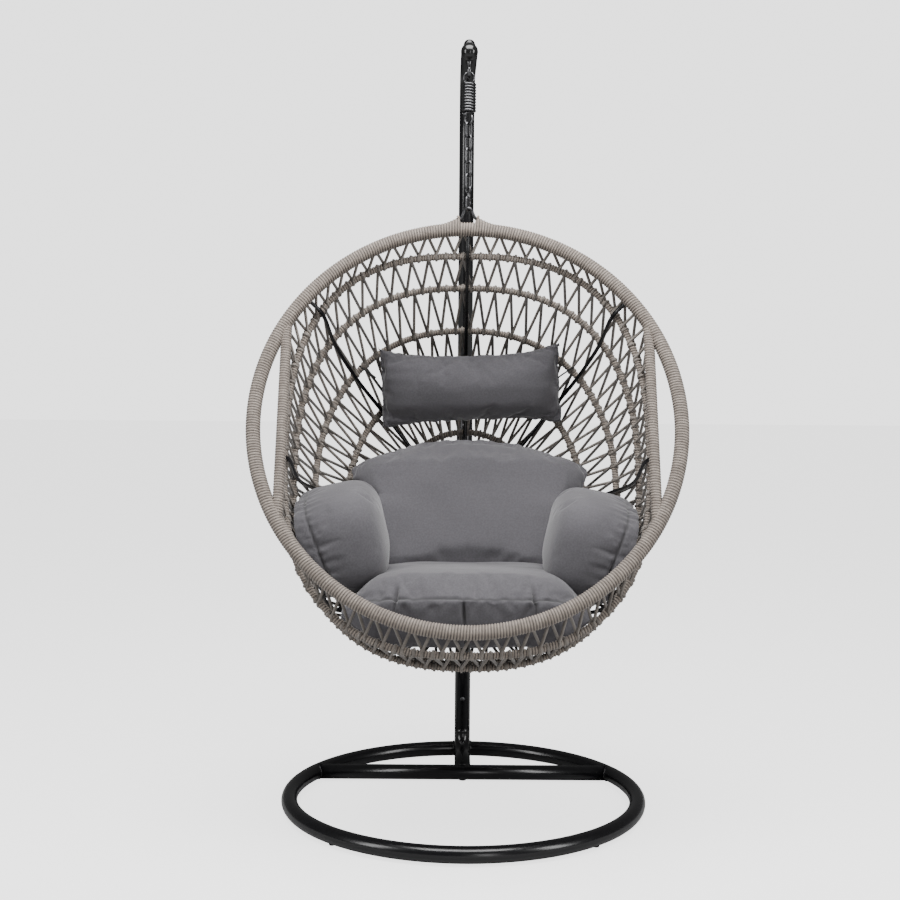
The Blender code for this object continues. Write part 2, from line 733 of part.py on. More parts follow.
def build_cushion(name, centre, size, tilt, roll):
    """A plain puffed block."""
    rotation = Matrix.Rotation(math.radians(roll), 4, "Y") @ Matrix.Rotation(math.radians(tilt), 4, "X")
    halves = Matrix.Diagonal((*[side / 2 for side in size], 1))
    place = Matrix.Translation(centre) @ rotation @ halves

    def build(shape):
        bmesh.ops.create_uvsphere(shape, u_segments=16, v_segments=10, radius=1)
        for vert in shape.verts:
            vert.co = Vector([math.copysign(abs(part) ** CUSHION_ROUNDNESS, part) for part in vert.co])
        bmesh.ops.transform(shape, matrix=place, verts=shape.verts)

    add_mesh(name, build, FABRIC)


def build_cushions():
    for name, (centre, size, tilt, roll) in CUSHIONS.items():
        build_cushion(name, centre, size, tilt, roll)


def build_ties():
    """The cords that tie the head pillow's ends back to the upper ribs."""
    for side, name in ((-1, "pillow_tie_left"), (1, "pillow_tie_right")):
        line = [Vector((side * x, y, z)) for x, y, z in TIE_LINE]
        smooth_tube(name, line, TIE_ROD, TIE, False, THIN_SIDES)


# --- Joints ---


def pivot(name, place, members):
    """An empty on a joint's axis, with the pieces that move about it as its children."""
    empty = bpy.data.objects.new(name, None)
    empty.location = place
    CHAIR.objects.link(empty)
    bpy.context.view_layer.update()
    for obj in members:
        obj.parent = empty
        obj.matrix_parent_inverse = empty.matrix_world.inverted()
    return empty


def main():
    build_base()
    foot_top = build_foot()
    upper = build_posts(foot_top)
    build_arm_fittings(upper)
    spring = build_spring()
    links = build_chain()
    swivel = build_swivel()
    stand_nodes = set(CHAIR.objects) - {spring, *links, swivel}
    snap_hook, gate, gate_place = build_snap_hook()
    build_hanging_eye()
    build_rim()
    build_hoops()
    build_hub()
    build_ribs()
    build_cord_panels()
    build_cushions()
    build_ties()
    hung = set(CHAIR.objects) - stand_nodes - {spring, *links, swivel, gate}

    contact_z = LOOP_TOP_Z - WIRE
    sway_z = FIRST_LINK_Z - LINK_REACH + WIRE
    swing = pivot("swing_pivot", (0, HANG_Y, contact_z), [spring])
    bounce = pivot("bounce_slide", (0, HANG_Y, LOWER_LOOP_Z), [links[0]])
    sway = pivot("sway_pivot", (0, HANG_Y, sway_z), [*links[1:], swivel])
    spin = pivot("spin_pivot", (0, HANG_Y, BARREL_Z), sorted(hung, key=lambda obj: obj.name))
    gate_pivot = pivot("gate_pivot", gate_place, [gate])
    for child, parent in ((bounce, swing), (sway, bounce), (spin, sway), (gate_pivot, spin)):
        child.parent = parent
        child.matrix_parent_inverse = parent.matrix_world.inverted()


clear_scene()
CHAIR = new_collection("hanging_egg_chair", False)
CUTTERS = new_collection("cutters", True)
main()
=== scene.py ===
"""The hanging egg chair's looks: rope-wrapped basket with laced cords, stuffed cushions, stand and studio.

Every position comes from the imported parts' boxes and joints. Metres, +Z up, and the chair faces -Y.
"""

import json
import math

import bmesh
import bpy
import numpy as np
from mathutils import Matrix, Vector, noise


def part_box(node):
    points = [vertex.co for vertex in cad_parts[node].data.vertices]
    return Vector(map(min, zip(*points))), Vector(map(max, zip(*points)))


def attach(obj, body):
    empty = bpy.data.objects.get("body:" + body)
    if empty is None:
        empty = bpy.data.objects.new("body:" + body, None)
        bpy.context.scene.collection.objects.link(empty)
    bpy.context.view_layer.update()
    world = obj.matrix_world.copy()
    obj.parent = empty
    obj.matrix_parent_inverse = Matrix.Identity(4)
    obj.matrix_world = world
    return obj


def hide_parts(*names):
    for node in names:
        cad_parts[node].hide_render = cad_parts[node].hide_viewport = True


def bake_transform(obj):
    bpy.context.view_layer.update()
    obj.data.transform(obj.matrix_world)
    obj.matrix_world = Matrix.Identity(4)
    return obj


# Rope wrapping
ROPE_PITCH = 0.0068
ROPE_RELIEF = 0.0028
ROPE_ROUNDNESS = 0.6
# GROOVE_REACH and GROOVE_SHADE set the painted shade in the hollows between rope turns: how far it spreads from
# the deepest point and how dark it is
GROOVE_REACH = 0.45
GROOVE_SHADE = 0.05
RINGS_PER_TURN = 5
RIM_SKIN = 0.0006
HOOP_SKIN = 0.0003
SIDE_BAR_RADIUS = 0.0134
RIM_POINTS = 900
HOOP_POINTS = 600

# Where the rim's wrapping climbs the legs of the hanging eye, and the two loose rope ends there
SHOULDER_REACH = 0.070
SHOULDER_PEAK = 0.023
SHOULDER_RISE = 0.015
SHOULDER_CURVE = 1.7
SHOULDER_FALL = 0.006
TAIL_RADIUS = 0.0030

# Lacing, from the rim back to the hub: how many Vs each band has, and how a cord goes round a hoop
CORD_RADIUS = 0.0039
CORD_SIDES = 7
CORD_COUNTS = (70, 72, 72, 66, 56, 24)
APEX_STEPS = 9
APEX_SINK = 0.0008
APEX_WRAP = (math.radians(-70), math.radians(250))

# Basket form: hoops are squarish ovals that grow rounder towards the back
BOWL_DEPTH = 0.571
RIM_LINE_HALF_WIDTH = 0.5075
FRONT_SQUARENESS = 2.68
BACK_SQUARENESS = 2.02
HOOP_TUBE = 0.009
HUB_RADIUS = 0.035
HUB_HALF_THICKNESS = 0.004
HUB_LIP = 0.001
HUB_LACING_RADIUS = 0.024
HUB_LACING_TUBE = 0.004
HUB_LACING_SHIFT = 0.008
RIB_ROD = 0.005
RIB_INSET = 0.0149
RIB_END_RADIUS = 0.030
RIB_FANS = {"upper": (6.0, 5.0, 4.0, 2.0, 0.0, 0.0), "side": (0.0, 0.0, -1.0, -5.0, -6.0, -6.0)}
RIB_ANGLES = {
    "rib_top": 90,
    "rib_upper_right": 49,
    "rib_side_right": -6,
    "rib_lower_right": -49,
    "rib_bottom": -90,
    "rib_lower_left": 229,
    "rib_side_left": 186,
    "rib_upper_left": 131,
}

# Stand
FOOT_BEND = 0.060
ARM_BEND = 0.150
BEAD_RADIUS = 0.0022
POST_LIP = 0.0012
GLIDE_PROFILE = ((0.0050, 0), (0.0068, 0.0008))
GLIDE_RADIUS = 0.0080
CAP_FLARE = 1.02
NUT_SKIRT = 0.003
NUT_FLARE = 1.12
BOLT_HEAD_HEIGHT = 0.0032
BOLT_NECK = 0.012
BOLT_START = 0.0157

# Hook, spring, chain and snap hook
HOOK_ROD = 0.006
HOOK_BOWL = 0.0125
HOOK_KNEE = (0.0022, 0.0145)
HOOK_NECK = 0.0185
WIRE = 0.003
LOOP_RADIUS = 0.0125
COIL_RADIUS = 0.015
COIL_TURNS = 10
STEPS_PER_TURN = 24
TOP_LOOP_NECK = 0.001
LOWER_LOOP_NECK = 0.004
LINK_BEND = 0.009
CHAIN_TURN = math.radians(45)
SWIVEL_WIRE = 0.0025
SWIVEL_RING = 0.0075
SHANK_RADIUS = 0.003
SHANK_HEAD = (0.0048, 0.003)
BARREL_BORE = 0.0034
SNAP_TURN = math.radians(66)
SNAP_HALF_WIDTH = 0.012
SNAP_DROP = 0.0165
SNAP_SHOULDER = ((0.0045, 0.0135), (0.0070, 0.0128), (0.0098, 0.0110), (0.0116, 0.0080), (0.012, 0.0040))
GATE_WIRE = 0.0022
EYE_ROD = 0.004
EYE_LEG = ((0.050, -0.010), (0.030, -0.003), (0.0165, 0.007), (0.0115, 0.018))
EYE_CROWN = 0.010

# Cushion forms: half width, half depth or thickness, and half height
HEAD_SIZE = (0.242, 0.052, 0.115)
BACK_SIZE = (0.312, 0.060, 0.190)
BACK_FOOT = 0.220
BACK_CURVE = 0.030
SEAT_SIZE = (0.285, 0.203, 0.070)
SEAT_FOOT = 0.094
SEAT_DROOP = 0.020
SEAT_SEAM_RISE = 0.016
ARM_SIZE = (0.112, 0.146, 0.108)
ARM_FOOT = 0.128
ARM_ROUNDNESS = 3.6
BOWL_CLEARANCE = 0.013

# Cloth, and what is pressed into it: a dart is its place across, its two ends in height, and its lean
CLOTH_FRAMES = 20
CLOTH_VOXEL = 0.0075
CLOTH_PRESSURE = 4.0
CLOTH_GROWTH = 0.04
CLOTH_REACH = 0.012
SEAM_HOLD = 0.6 * CLOTH_VOXEL
SEAM_DEPTH = 0.0022
SEAM_WIDTH = 0.0030
DART_DEPTH = 0.0110
DART_WIDTH = 0.0052
DART_FACE = -0.09
SEAT_DARTS = ((-0.170, -0.035, 0.052, 0.12), (-0.004, -0.060, 0.020, -0.05), (0.163, -0.035, 0.052, -0.12))
PUCKER_HEIGHT = 0.0050
PUCKER_REACH = 0.026
PUCKER_RATE = 62.0
PUCKER_DRIFT = 12.0
LUMP_HEIGHT = 0.0040
LUMP_RATE = 11.0
TIE_RADIUS = 0.0022

# Camera
CAMERA_PLACE = (-0.041, -4.054, 1.309)
CAMERA_DROP = math.radians(5.13)
CAMERA_ROLL = math.radians(0.40)
CAMERA_LENS = 63.93
CAMERA_SENSOR = 36.0

# Studio: each softbox has its place, what it faces, its size and its power
BACKDROP_GLOW = 2.4
FLOOR_GLOW = 2.1
FLOOR_SIZE = 14.0
SKY_LIGHT = 0.14
SOFTBOXES = {
    "softbox_left": ((-2.9, -1.9, 1.8), (0, -0.1, 0.8), (0.8, 2.2), 66),
    "softbox_right": ((2.9, -1.9, 1.8), (0, -0.1, 0.8), (0.8, 2.2), 72),
    "softbox_top": ((0, -1.1, 3.5), (0, -0.1, 0.9), (2.6, 1.8), 235),
    "strip_front": ((1.1, -4.8, 1.1), (0, 0, 0.7), (0.6, 2.6), 30),
}

# Colours, each as a darker and a lighter shade that are mixed
COAT_COLOURS = ((0.0030, 0.0030, 0.0036), (0.0042, 0.0042, 0.0050))
STEEL_COLOURS = ((0.080, 0.080, 0.084), (0.120, 0.120, 0.124))
PLASTIC_COLOURS = ((0.004, 0.004, 0.004), (0.006, 0.006, 0.006))
ROPE_COLOURS = ((0.200, 0.164, 0.137), (0.284, 0.240, 0.204))
# The laced cords are the same rope as the wrapping, given darker colours as painted shade for the shadow they lie
# in.
CORD_SHADED_COLOURS = ((0.108, 0.094, 0.082), (0.155, 0.137, 0.122))
FABRIC_COLOURS = ((0.052, 0.049, 0.055), (0.065, 0.062, 0.069))
# Painted shade for the creases along the cushions' seams and darts.
SEAM_SHADE_COLOUR = (0.024, 0.023, 0.025)
TIE_COLOURS = ((0.010, 0.010, 0.010), (0.022, 0.022, 0.022))
FLOOR_COLOURS = ((0.42, 0.42, 0.42), (0.44, 0.44, 0.44))

# Material slots that many pieces share
COAT = "black_powder_coat"
STEEL = "dark_zinc_steel"
PLASTIC = "black_plastic"
ROPE = "taupe_rope"

LOOKS = {}


# --- Materials ---


class NodeTree:
    """A short way to add nodes to one material and join them up."""

    def __init__(self, name):
        self.material = bpy.data.materials.new(name)
        self.material.use_nodes = True
        self.nodes = self.material.node_tree.nodes
        self.links = self.material.node_tree.links
        self.shader = self.nodes["Principled BSDF"]

    def add(self, kind, **settings):
        node = self.nodes.new(kind)
        for key, value in settings.items():
            setattr(node, key, value)
        return node

    def join(self, source, target):
        self.links.new(source, target)

    def noise(self, scale, detail=3.0, stretch=(1, 1, 1)):
        place = self.add("ShaderNodeTexCoord")
        mapping = self.add("ShaderNodeMapping")
        mapping.inputs["Scale"].default_value = stretch
        self.join(place.outputs["Object"], mapping.inputs["Vector"])
        noise = self.add("ShaderNodeTexNoise")
        noise.inputs["Scale"].default_value = scale
        noise.inputs["Detail"].default_value = detail
        self.join(mapping.outputs["Vector"], noise.inputs["Vector"])
        return noise.outputs["Fac"]

    def blend_colours(self, factor, colours):
        ramp = self.add("ShaderNodeValToRGB")
        for element, position, colour in zip(ramp.color_ramp.elements, (0.35, 0.65), colours):
            element.position = position
            element.color = (*colour, 1)
        self.join(factor, ramp.inputs["Fac"])
        return ramp.outputs["Color"]

    def darken(self, colour, attribute, shade):
        """Mixes the colour towards a shade where the mesh's attribute says so."""
        source = self.add("ShaderNodeAttribute", attribute_name=attribute)
        mix = self.add("ShaderNodeMix", data_type="RGBA")
        self.join(source.outputs["Fac"], mix.inputs["Factor"])
        self.join(colour, mix.inputs["A"])
        mix.inputs["B"].default_value = (*shade, 1)
        return mix.outputs["Result"]

    def set_shader(self, **values):
        for key, value in values.items():
            self.shader.inputs[key.replace("_", " ").title()].default_value = value

    def bump(self, height, strength, distance):
        bump = self.add("ShaderNodeBump")
        bump.inputs["Strength"].default_value = strength
        bump.inputs["Distance"].default_value = distance
        self.join(height, bump.inputs["Height"])
        self.join(bump.outputs["Normal"], self.shader.inputs["Normal"])


def plain_look(name, colours, roughness, grain, strength, distance, metallic=0.0):
    """A paint, metal or plastic: two close colours mixed by noise, with a fine bump."""
    tree = NodeTree(name)
    tree.join(tree.blend_colours(tree.noise(grain / 20), colours), tree.shader.inputs["Base Color"])
    tree.set_shader(roughness=roughness, metallic=metallic)
    tree.bump(tree.noise(grain), strength, distance)
    return tree


def powder_coat():
    tree = plain_look("powder_coat", COAT_COLOURS, 0.24, 1400, 0.08, 0.0002)
    tree.shader.inputs["Specular IOR Level"].default_value = 0.45
    return tree.material


def dark_steel():
    return plain_look("dark_steel", STEEL_COLOURS, 0.30, 700, 0.04, 0.0001, metallic=1.0).material


def black_plastic():
    return plain_look("black_plastic", PLASTIC_COLOURS, 0.20, 900, 0.05, 0.0001).material


def rope_look(name, colours):
    """Braided rope: mottled, with painted shade in the hollows between turns, and fibres in the bump."""
    tree = NodeTree(name)
    mottled = tree.blend_colours(tree.noise(55, 4.0), colours)
    shade = [part * GROOVE_SHADE for part in colours[0]]
    # Painted shade: the rope colour is mixed towards a near-black tone where a point lies deep between two turns.
    tree.join(tree.darken(mottled, "painted_groove_shade", shade), tree.shader.inputs["Base Color"])
    tree.set_shader(roughness=0.72, sheen_weight=0.15)
    tree.bump(tree.noise(1500, 2.0), 0.35, 0.0004)
    return tree.material


def fabric_look():
    """Woven polyester: a fine cross weave and soft slubs, with painted shade along the seams and darts."""
    tree = NodeTree("grey_weave")
    slubs = tree.blend_colours(tree.noise(240, 4.0), FABRIC_COLOURS)
    tree.join(tree.darken(slubs, "seam", SEAM_SHADE_COLOUR), tree.shader.inputs["Base Color"])
    tree.set_shader(roughness=0.9, sheen_weight=0.25, sheen_roughness=0.5)
    warp = tree.noise(420, 1.0, (1, 1, 7))
    weft = tree.noise(420, 1.0, (7, 7, 1))
    weave = tree.add("ShaderNodeMath", operation="ADD")
    tree.join(warp, weave.inputs[0])
    tree.join(weft, weave.inputs[1])
    tree.bump(weave.outputs["Value"], 0.25, 0.0004)
    return tree.material


def tie_look():
    return plain_look("tie_cord", TIE_COLOURS, 0.8, 1200, 0.3, 0.0003).material


def floor_look():
    """A pale floor that glows for the camera only, to meet the backdrop almost without an edge."""
    tree = plain_look("studio_floor", FLOOR_COLOURS, 0.9, 30, 0.0, 0.001)
    path = tree.add("ShaderNodeLightPath")
    glow = tree.add("ShaderNodeMath", operation="MULTIPLY")
    tree.join(path.outputs["Is Camera Ray"], glow.inputs[0])
    glow.inputs[1].default_value = FLOOR_GLOW
    tree.shader.inputs["Emission Color"].default_value = (1, 1, 1, 1)
    tree.join(glow.outputs["Value"], tree.shader.inputs["Emission Strength"])
    return tree.material


def make_looks():
    LOOKS[COAT] = powder_coat()
    LOOKS[STEEL] = dark_steel()
    LOOKS[PLASTIC] = black_plastic()
    LOOKS[ROPE] = rope_look("taupe_rope_wrap", ROPE_COLOURS)
    # The cords take a darker copy of the rope's look: painted shade.
    LOOKS["taupe_cord"] = rope_look("taupe_cord_lace_painted_shade", CORD_SHADED_COLOURS)
    LOOKS["grey_fabric"] = fabric_look()
    LOOKS["black_tie_cord"] = tie_look()


# --- Meshes ---


def linked(name, data):
    """A new object in the scene."""
    obj = bpy.data.objects.new(name, data)
    bpy.context.scene.collection.objects.link(obj)
    return obj


def add_piece(name, data, slot, body, *nodes):
    """Links a mesh, gives it its slot's look, ties it to its body, and hides the parts it stands for."""
    data.name = name
    obj = linked(name, data)
    data.materials.append(LOOKS[slot])
    data.polygons.foreach_set("use_smooth", [True] * len(data.polygons))
    if body:
        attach(obj, body)
    if nodes:
        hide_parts(*nodes)
    return obj


def mesh_from(verts, faces):
    data = bpy.data.meshes.new("mesh")
    data.from_pydata([tuple(vert) for vert in verts], [], faces)
    data.validate()
    return data


def spaced(line, step, closed):
    """The line again, with points the same distance apart, close to step."""
    points = np.array(line, float)
    if closed:
        points = np.vstack([points, points[:1]])
    lengths = np.linalg.norm(np.diff(points, axis=0), axis=1)
    travelled = np.concatenate([[0], np.cumsum(lengths)])
    count = max(2, int(round(travelled[-1] / step)))
    marks = np.linspace(0, travelled[-1], count + 1)
    if closed:
        marks = marks[:-1]
    return np.stack([np.interp(marks, travelled, points[:, axis]) for axis in range(3)], axis=1)


def side_vectors(points, closed):
    """Two vectors square to the line at each point, carried along it without twist."""
    if closed:
        along = np.roll(points, -1, axis=0) - np.roll(points, 1, axis=0)
    else:
        along = np.gradient(points, axis=0)
    along /= np.linalg.norm(along, axis=1, keepdims=True)
    start = np.cross(along[0], (0.3, 0.2, 0.93))
    sides = [start / np.linalg.norm(start)]
    for direction in along[1:]:
        flat = sides[-1] - direction * np.dot(sides[-1], direction)
        sides.append(flat / np.linalg.norm(flat))
    sides = np.array(sides)
    ups = np.cross(along, sides)
    if closed:
        last = sides[-1] - along[0] * np.dot(sides[-1], along[0])
        twist = math.atan2(np.dot(np.cross(last, sides[0]), along[0]), np.dot(last, sides[0]))
        turns = np.linspace(0, twist, len(points), endpoint=False)[:, None]
        cos, sin = np.cos(turns), np.sin(turns)
        sides, ups = sides * cos + ups * sin, ups * cos - sides * sin
    return sides, ups


def tube_faces(rings, sides, closed):
    faces = []
    for ring in range(rings if closed else rings - 1):
        here = ring * sides
        after = ((ring + 1) % rings) * sides
        for side in range(sides):
            turn = (side + 1) % sides
            faces.append((here + side, here + turn, after + turn, after + side))
    if not closed:
        faces.append(tuple(reversed(range(sides))))
        faces.append(tuple(range((rings - 1) * sides, rings * sides)))
    return faces


def swept(points, radii, closed):
    """A tube along the points, with a radius for each point and each of its sides."""
    side, up = side_vectors(points, closed)
    angles = spoke_angles(radii.shape[1])
    spokes = side[:, None, :] * np.cos(angles)[None, :, None] + up[:, None, :] * np.sin(angles)[None, :, None]
    verts = points[:, None, :] + spokes * radii[:, :, None]
    return mesh_from(verts.reshape(-1, 3), tube_faces(len(points), radii.shape[1], closed))


def spoke_angles(sides):
    return np.linspace(0, 2 * math.pi, sides, endpoint=False)


def tube(line, radius, sides, closed=False):
    """A plain round tube along a line."""
    points = np.array(line, float)
    return swept(points, np.full((len(points), sides), radius), closed)


def wound_tube(line, radius, sides, closed=False):
    """A tube with a rope wound round it, turn against turn; a point attribute gives how deep each point lies,
    which paints shade into the hollows between turns.
    """
    points = spaced(line, ROPE_PITCH / RINGS_PER_TURN, closed)
    whole = len(points) // RINGS_PER_TURN * RINGS_PER_TURN
    points = spaced(points, ROPE_PITCH / RINGS_PER_TURN * len(points) / whole, closed)
    along = np.arange(len(points))[:, None] / RINGS_PER_TURN
    share = along + spoke_angles(sides)[None, :] / (2 * math.pi)
    swell = np.abs(np.sin(math.pi * share)) ** ROPE_ROUNDNESS
    data = swept(points, radius - ROPE_RELIEF + ROPE_RELIEF * swell, closed)
    # Painted shade mask: one at the bottom of the hollow between turns, falling to nothing on each turn's crest.
    groove_shade_mask = (1 - swell) ** GROOVE_REACH
    data.attributes.new("painted_groove_shade", "FLOAT", "POINT").data.foreach_set("value", groove_shade_mask.ravel())
    return data


def mesh_of(shape):
    """A mesh from a bmesh, which is then freed."""
    data = bpy.data.meshes.new("mesh")
    shape.to_mesh(data)
    shape.free()
    return data


def joined(parts):
    """One mesh from several."""
    whole = bmesh.new()
    for part in parts:
        whole.from_mesh(part)
    return mesh_of(whole)


def turned(profile, start, axis, sides=40):
    """A solid of revolution from (radius, distance along the axis) pairs."""
    place = Matrix.Translation(start) @ Vector(axis).to_track_quat("Z", "Y").to_matrix().to_4x4()
    shape = bmesh.new()
    verts = [shape.verts.new((radius, 0, along)) for radius, along in profile]
    edges = [shape.edges.new(pair) for pair in zip(verts, verts[1:])]
    full = 2 * math.pi
    bmesh.ops.spin(shape, geom=verts + edges, axis=(0, 0, 1), cent=(0, 0, 0), angle=full, steps=sides)
    bmesh.ops.remove_doubles(shape, verts=shape.verts, dist=1e-6)
    bmesh.ops.recalc_face_normals(shape, faces=shape.faces)
    bmesh.ops.transform(shape, matrix=place, verts=shape.verts)
    return mesh_of(shape)


def arc(centre, radius, first, last, steps, to_world):
    """Points from the first to the last angle, in degrees, in the plane that to_world places."""
    points = []
    for step in range(steps + 1):
        angle = math.radians(first + (last - first) * step / steps)
        points.append(to_world(centre[0] + radius * math.cos(angle), centre[1] + radius * math.sin(angle)))
    return points


def dome(radius, height, base):
    """The profile of a rounded top, as turned() takes it."""
    points = []
    steps = 12
    for step in range(steps + 1):
        angle = math.pi / 2 * step / steps
        across = 0.0 if step == steps else radius * math.cos(angle)
        points.append((across, base + height * math.sin(angle)))
    return points


def chamfered(radius, low, high, lip):
    """The profile of a round bar whose two edges are broken."""
    inner = radius - lip
    return [(0, low), (inner, low), (radius, low + lip), (radius, high - lip), (inner, high), (0, high)]


def side_plane(y, z):
    return Vector((0.0, y, z))


def joint(name):
    return next(item for item in FRAME["joints"] if item["name"] == name)


def middle(node):
    low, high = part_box(node)
    return (low + high) / 2


def hang_y():
    return joint("swing")["pos_m"][1]


def hang_plane(turn):
    """The vertical plane through the hanging line, turned about it from the front."""
    return lambda x, z: Vector((x * math.cos(turn), hang_y() + x * math.sin(turn), z))


# --- Stand ---


class Base:
    """The base ring and crossbar, as the line and radius of each tube."""

    def __init__(self):
        low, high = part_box("base_ring")
        self.ring_tube = (high.z - low.z) / 2
        self.ring_centre = (low + high) / 2
        self.ring_radius = high.x - self.ring_tube
        self.bar_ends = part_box("base_crossbar")
        self.bar = middle("base_crossbar")
        self.bar_tube = (self.bar_ends[1].z - self.bar_ends[0].z) / 2
        low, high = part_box("lower_post")
        self.foot_tube = (high.x - low.x) / 2


def around(steps):
    return [2 * math.pi * step / steps for step in range(steps)]


def base_pieces():
    base = Base()
    centre, radius = base.ring_centre, base.ring_radius
    line = [centre + Vector((radius * math.cos(turn), radius * math.sin(turn), 0)) for turn in around(144)]
    ring = tube(line, base.ring_tube, 28, True)
    add_piece("ring_tube", ring, COAT, "stand", "base_ring")

    low, high = base.bar_ends
    line = [Vector((low.x, base.bar.y, base.bar.z)), base.bar, Vector((high.x, base.bar.y, base.bar.z))]
    bar = tube(line, base.bar_tube, 28)
    add_piece("crossbar_tube", bar, COAT, "stand", "base_crossbar")

    beads = [*bar_beads(base), foot_bead(base), *foot_to_ring_beads(base)]
    add_piece("weld_beads", joined(beads), COAT, "stand")


def bar_beads(base):
    """The welds round the crossbar's two ends, where it meets the ring."""
    beads = []
    for side in (-1, 1):
        bead = []
        for turn in around(40):
            y = base.bar.y + base.bar_tube * math.cos(turn)
            rise = base.bar_tube * math.sin(turn)
            reach = base.ring_radius - math.sqrt(max(base.ring_tube**2 - rise**2, 0))
            x = side * math.sqrt(reach**2 - (y - base.ring_centre.y) ** 2)
            bead.append(Vector((x, y, base.bar.z + rise)))
        beads.append(tube(bead, BEAD_RADIUS, 8, True))
    return beads


def foot_bead(base):
    """The weld round the foot tube, where it meets the crossbar."""
    bead = []
    for turn in around(40):
        rise = base.foot_tube * math.sin(turn)
        back = math.sqrt(max(base.bar_tube**2 - rise**2, 0))
        bead.append(Vector((base.foot_tube * math.cos(turn), base.bar.y + back, base.bar.z + rise)))
    return tube(bead, BEAD_RADIUS, 8, True)


def foot_to_ring_beads(base):
    """The welds along both sides of the foot tube, over the rear of the ring."""
    beads = []
    for side in (-1, 1):
        x = side * (base.foot_tube + BEAD_RADIUS)
        y = base.ring_centre.y + math.sqrt(base.ring_radius**2 - x**2)
        centre = (y, base.ring_centre.z)
        bead = arc(centre, base.ring_tube, 20, 220, 20, lambda flat, z, x=x: Vector((x, flat, z)))
        beads.append(tube(bead, BEAD_RADIUS, 8))
    return beads


def glide_pieces():
    """Small feet that taper towards the floor under the base ring."""
    for number in range(1, 5):
        low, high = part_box(f"glide_{number}")
        place = ((low.x + high.x) / 2, (low.y + high.y) / 2, 0)
        profile = [(0, 0), *GLIDE_PROFILE, (GLIDE_RADIUS, high.z), (0, high.z)]
        data = turned(profile, place, (0, 0, 1), 24)
        add_piece(f"foot_pad_{number}", data, PLASTIC, "stand", f"glide_{number}")


def post_pieces():
    low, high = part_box("lower_post")
    post_y = middle("lower_post").y
    radius = (high.x - low.x) / 2
    ring_z = middle("base_ring").z
    foot_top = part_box("foot_elbow")[1].z
    bend = arc((post_y - FOOT_BEND, ring_z + FOOT_BEND), FOOT_BEND, -90, 0, 20, side_plane)
    line = [side_plane(middle("base_crossbar").y, ring_z), *bend, side_plane(post_y, foot_top)]
    foot = tube(line, radius, 28)
    add_piece("foot_tube", foot, COAT, "stand", "foot_elbow", "foot_spigot")
    profile = chamfered(radius, low.z, high.z, POST_LIP)
    lower = turned(profile, (0, post_y, 0), (0, 0, 1), 36)
    add_piece("lower_tube", lower, COAT, "stand", "lower_post")

    low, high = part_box("upper_post")
    radius = (high.x - low.x) / 2
    arm_z = high.z - radius
    bend = arc((post_y - ARM_BEND, arm_z - ARM_BEND), ARM_BEND, 0, 90, 28, side_plane)
    line = [side_plane(post_y, low.z), *bend, side_plane(low.y, arm_z)]
    upper = tube(line, radius, 32)
    add_piece("upper_tube", upper, COAT, "stand", "upper_post")
    flare = radius * CAP_FLARE
    cap = turned([(0, 0), (flare, 0), *dome(flare, radius, 0.002)], (0, low.y, arm_z), (0, -1, 0))
    add_piece("end_cap", cap, PLASTIC, "stand", "arm_end_cap")


def fastener_pieces():
    """The domed nut on top of the arm, and the rounded heads of the two bolts."""
    low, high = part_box("hook_cap_nut")
    radius = (high.x - low.x) / 2
    flare = radius * NUT_FLARE
    nut = [(0, 0), (flare, 0), (flare, NUT_SKIRT), *dome(radius, high.z - low.z - NUT_SKIRT, NUT_SKIRT)]
    nut_mesh = turned(nut, (0, hang_y(), low.z), (0, 0, 1))
    add_piece("domed_nut", nut_mesh, PLASTIC, "stand", "hook_cap_nut")
    for label in ("lower", "upper"):
        low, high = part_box(f"{label}_bolt")
        head = (high.x - low.x) / 2
        shaft = head * 0.6
        profile = [(0, 0), (shaft, 0), (shaft, BOLT_NECK), (head, BOLT_NECK)]
        profile += dome(head, BOLT_HEAD_HEIGHT, BOLT_NECK + 0.0005)
        start = (0, low.y + BOLT_START, (low.z + high.z) / 2)
        bolt = turned(profile, start, (0, -1, 0), 28)
        add_piece(f"{label}_bolt_head", bolt, STEEL, "stand", f"{label}_bolt")


# --- Suspension ---


def hook_piece():
    low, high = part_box("arm_hook")
    y = hang_y()
    bowl_z = low.z + HOOK_ROD + HOOK_BOWL
    neck_z = bowl_z + HOOK_NECK
    shank = [side_plane(y, high.z), side_plane(y, neck_z + 0.002)]
    shank.append(side_plane(y + HOOK_KNEE[0] / 3, neck_z - 0.001))
    shank.append(side_plane(y + HOOK_KNEE[0], bowl_z + HOOK_KNEE[1]))
    bowl = arc((y, bowl_z), HOOK_BOWL, 50, -205, 36, side_plane)
    hook = tube([*shank, *bowl], HOOK_ROD, 18)
    add_piece("hook_rod", hook, STEEL, "stand", "arm_hook")


def spring_piece():
    """The coil, with its top loop on the hook and its lower loop turned towards the chain."""
    low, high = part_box("spring")
    top_z = high.z - WIRE - LOOP_RADIUS
    lower_z = low.z + WIRE + LOOP_RADIUS
    coil_top = top_z - LOOP_RADIUS - TOP_LOOP_NECK
    coil_bottom = lower_z + LOOP_RADIUS + LOWER_LOOP_NECK
    points = arc((0, top_z), LOOP_RADIUS, -50, 235, 26, hang_plane(0))
    steps = COIL_TURNS * STEPS_PER_TURN
    for step in range(steps + 1):
        angle = math.pi + 2 * math.pi * step / STEPS_PER_TURN
        z = coil_top + (coil_bottom - coil_top) * step / steps
        points.append(hang_plane(angle)(COIL_RADIUS, z))
    points += arc((0, lower_z), LOOP_RADIUS, 125, 410, 26, hang_plane(-CHAIN_TURN))
    coil = tube(points, WIRE, 12)
    spring = add_piece("coil_spring", coil, STEEL, None, "spring")
    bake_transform(spring)


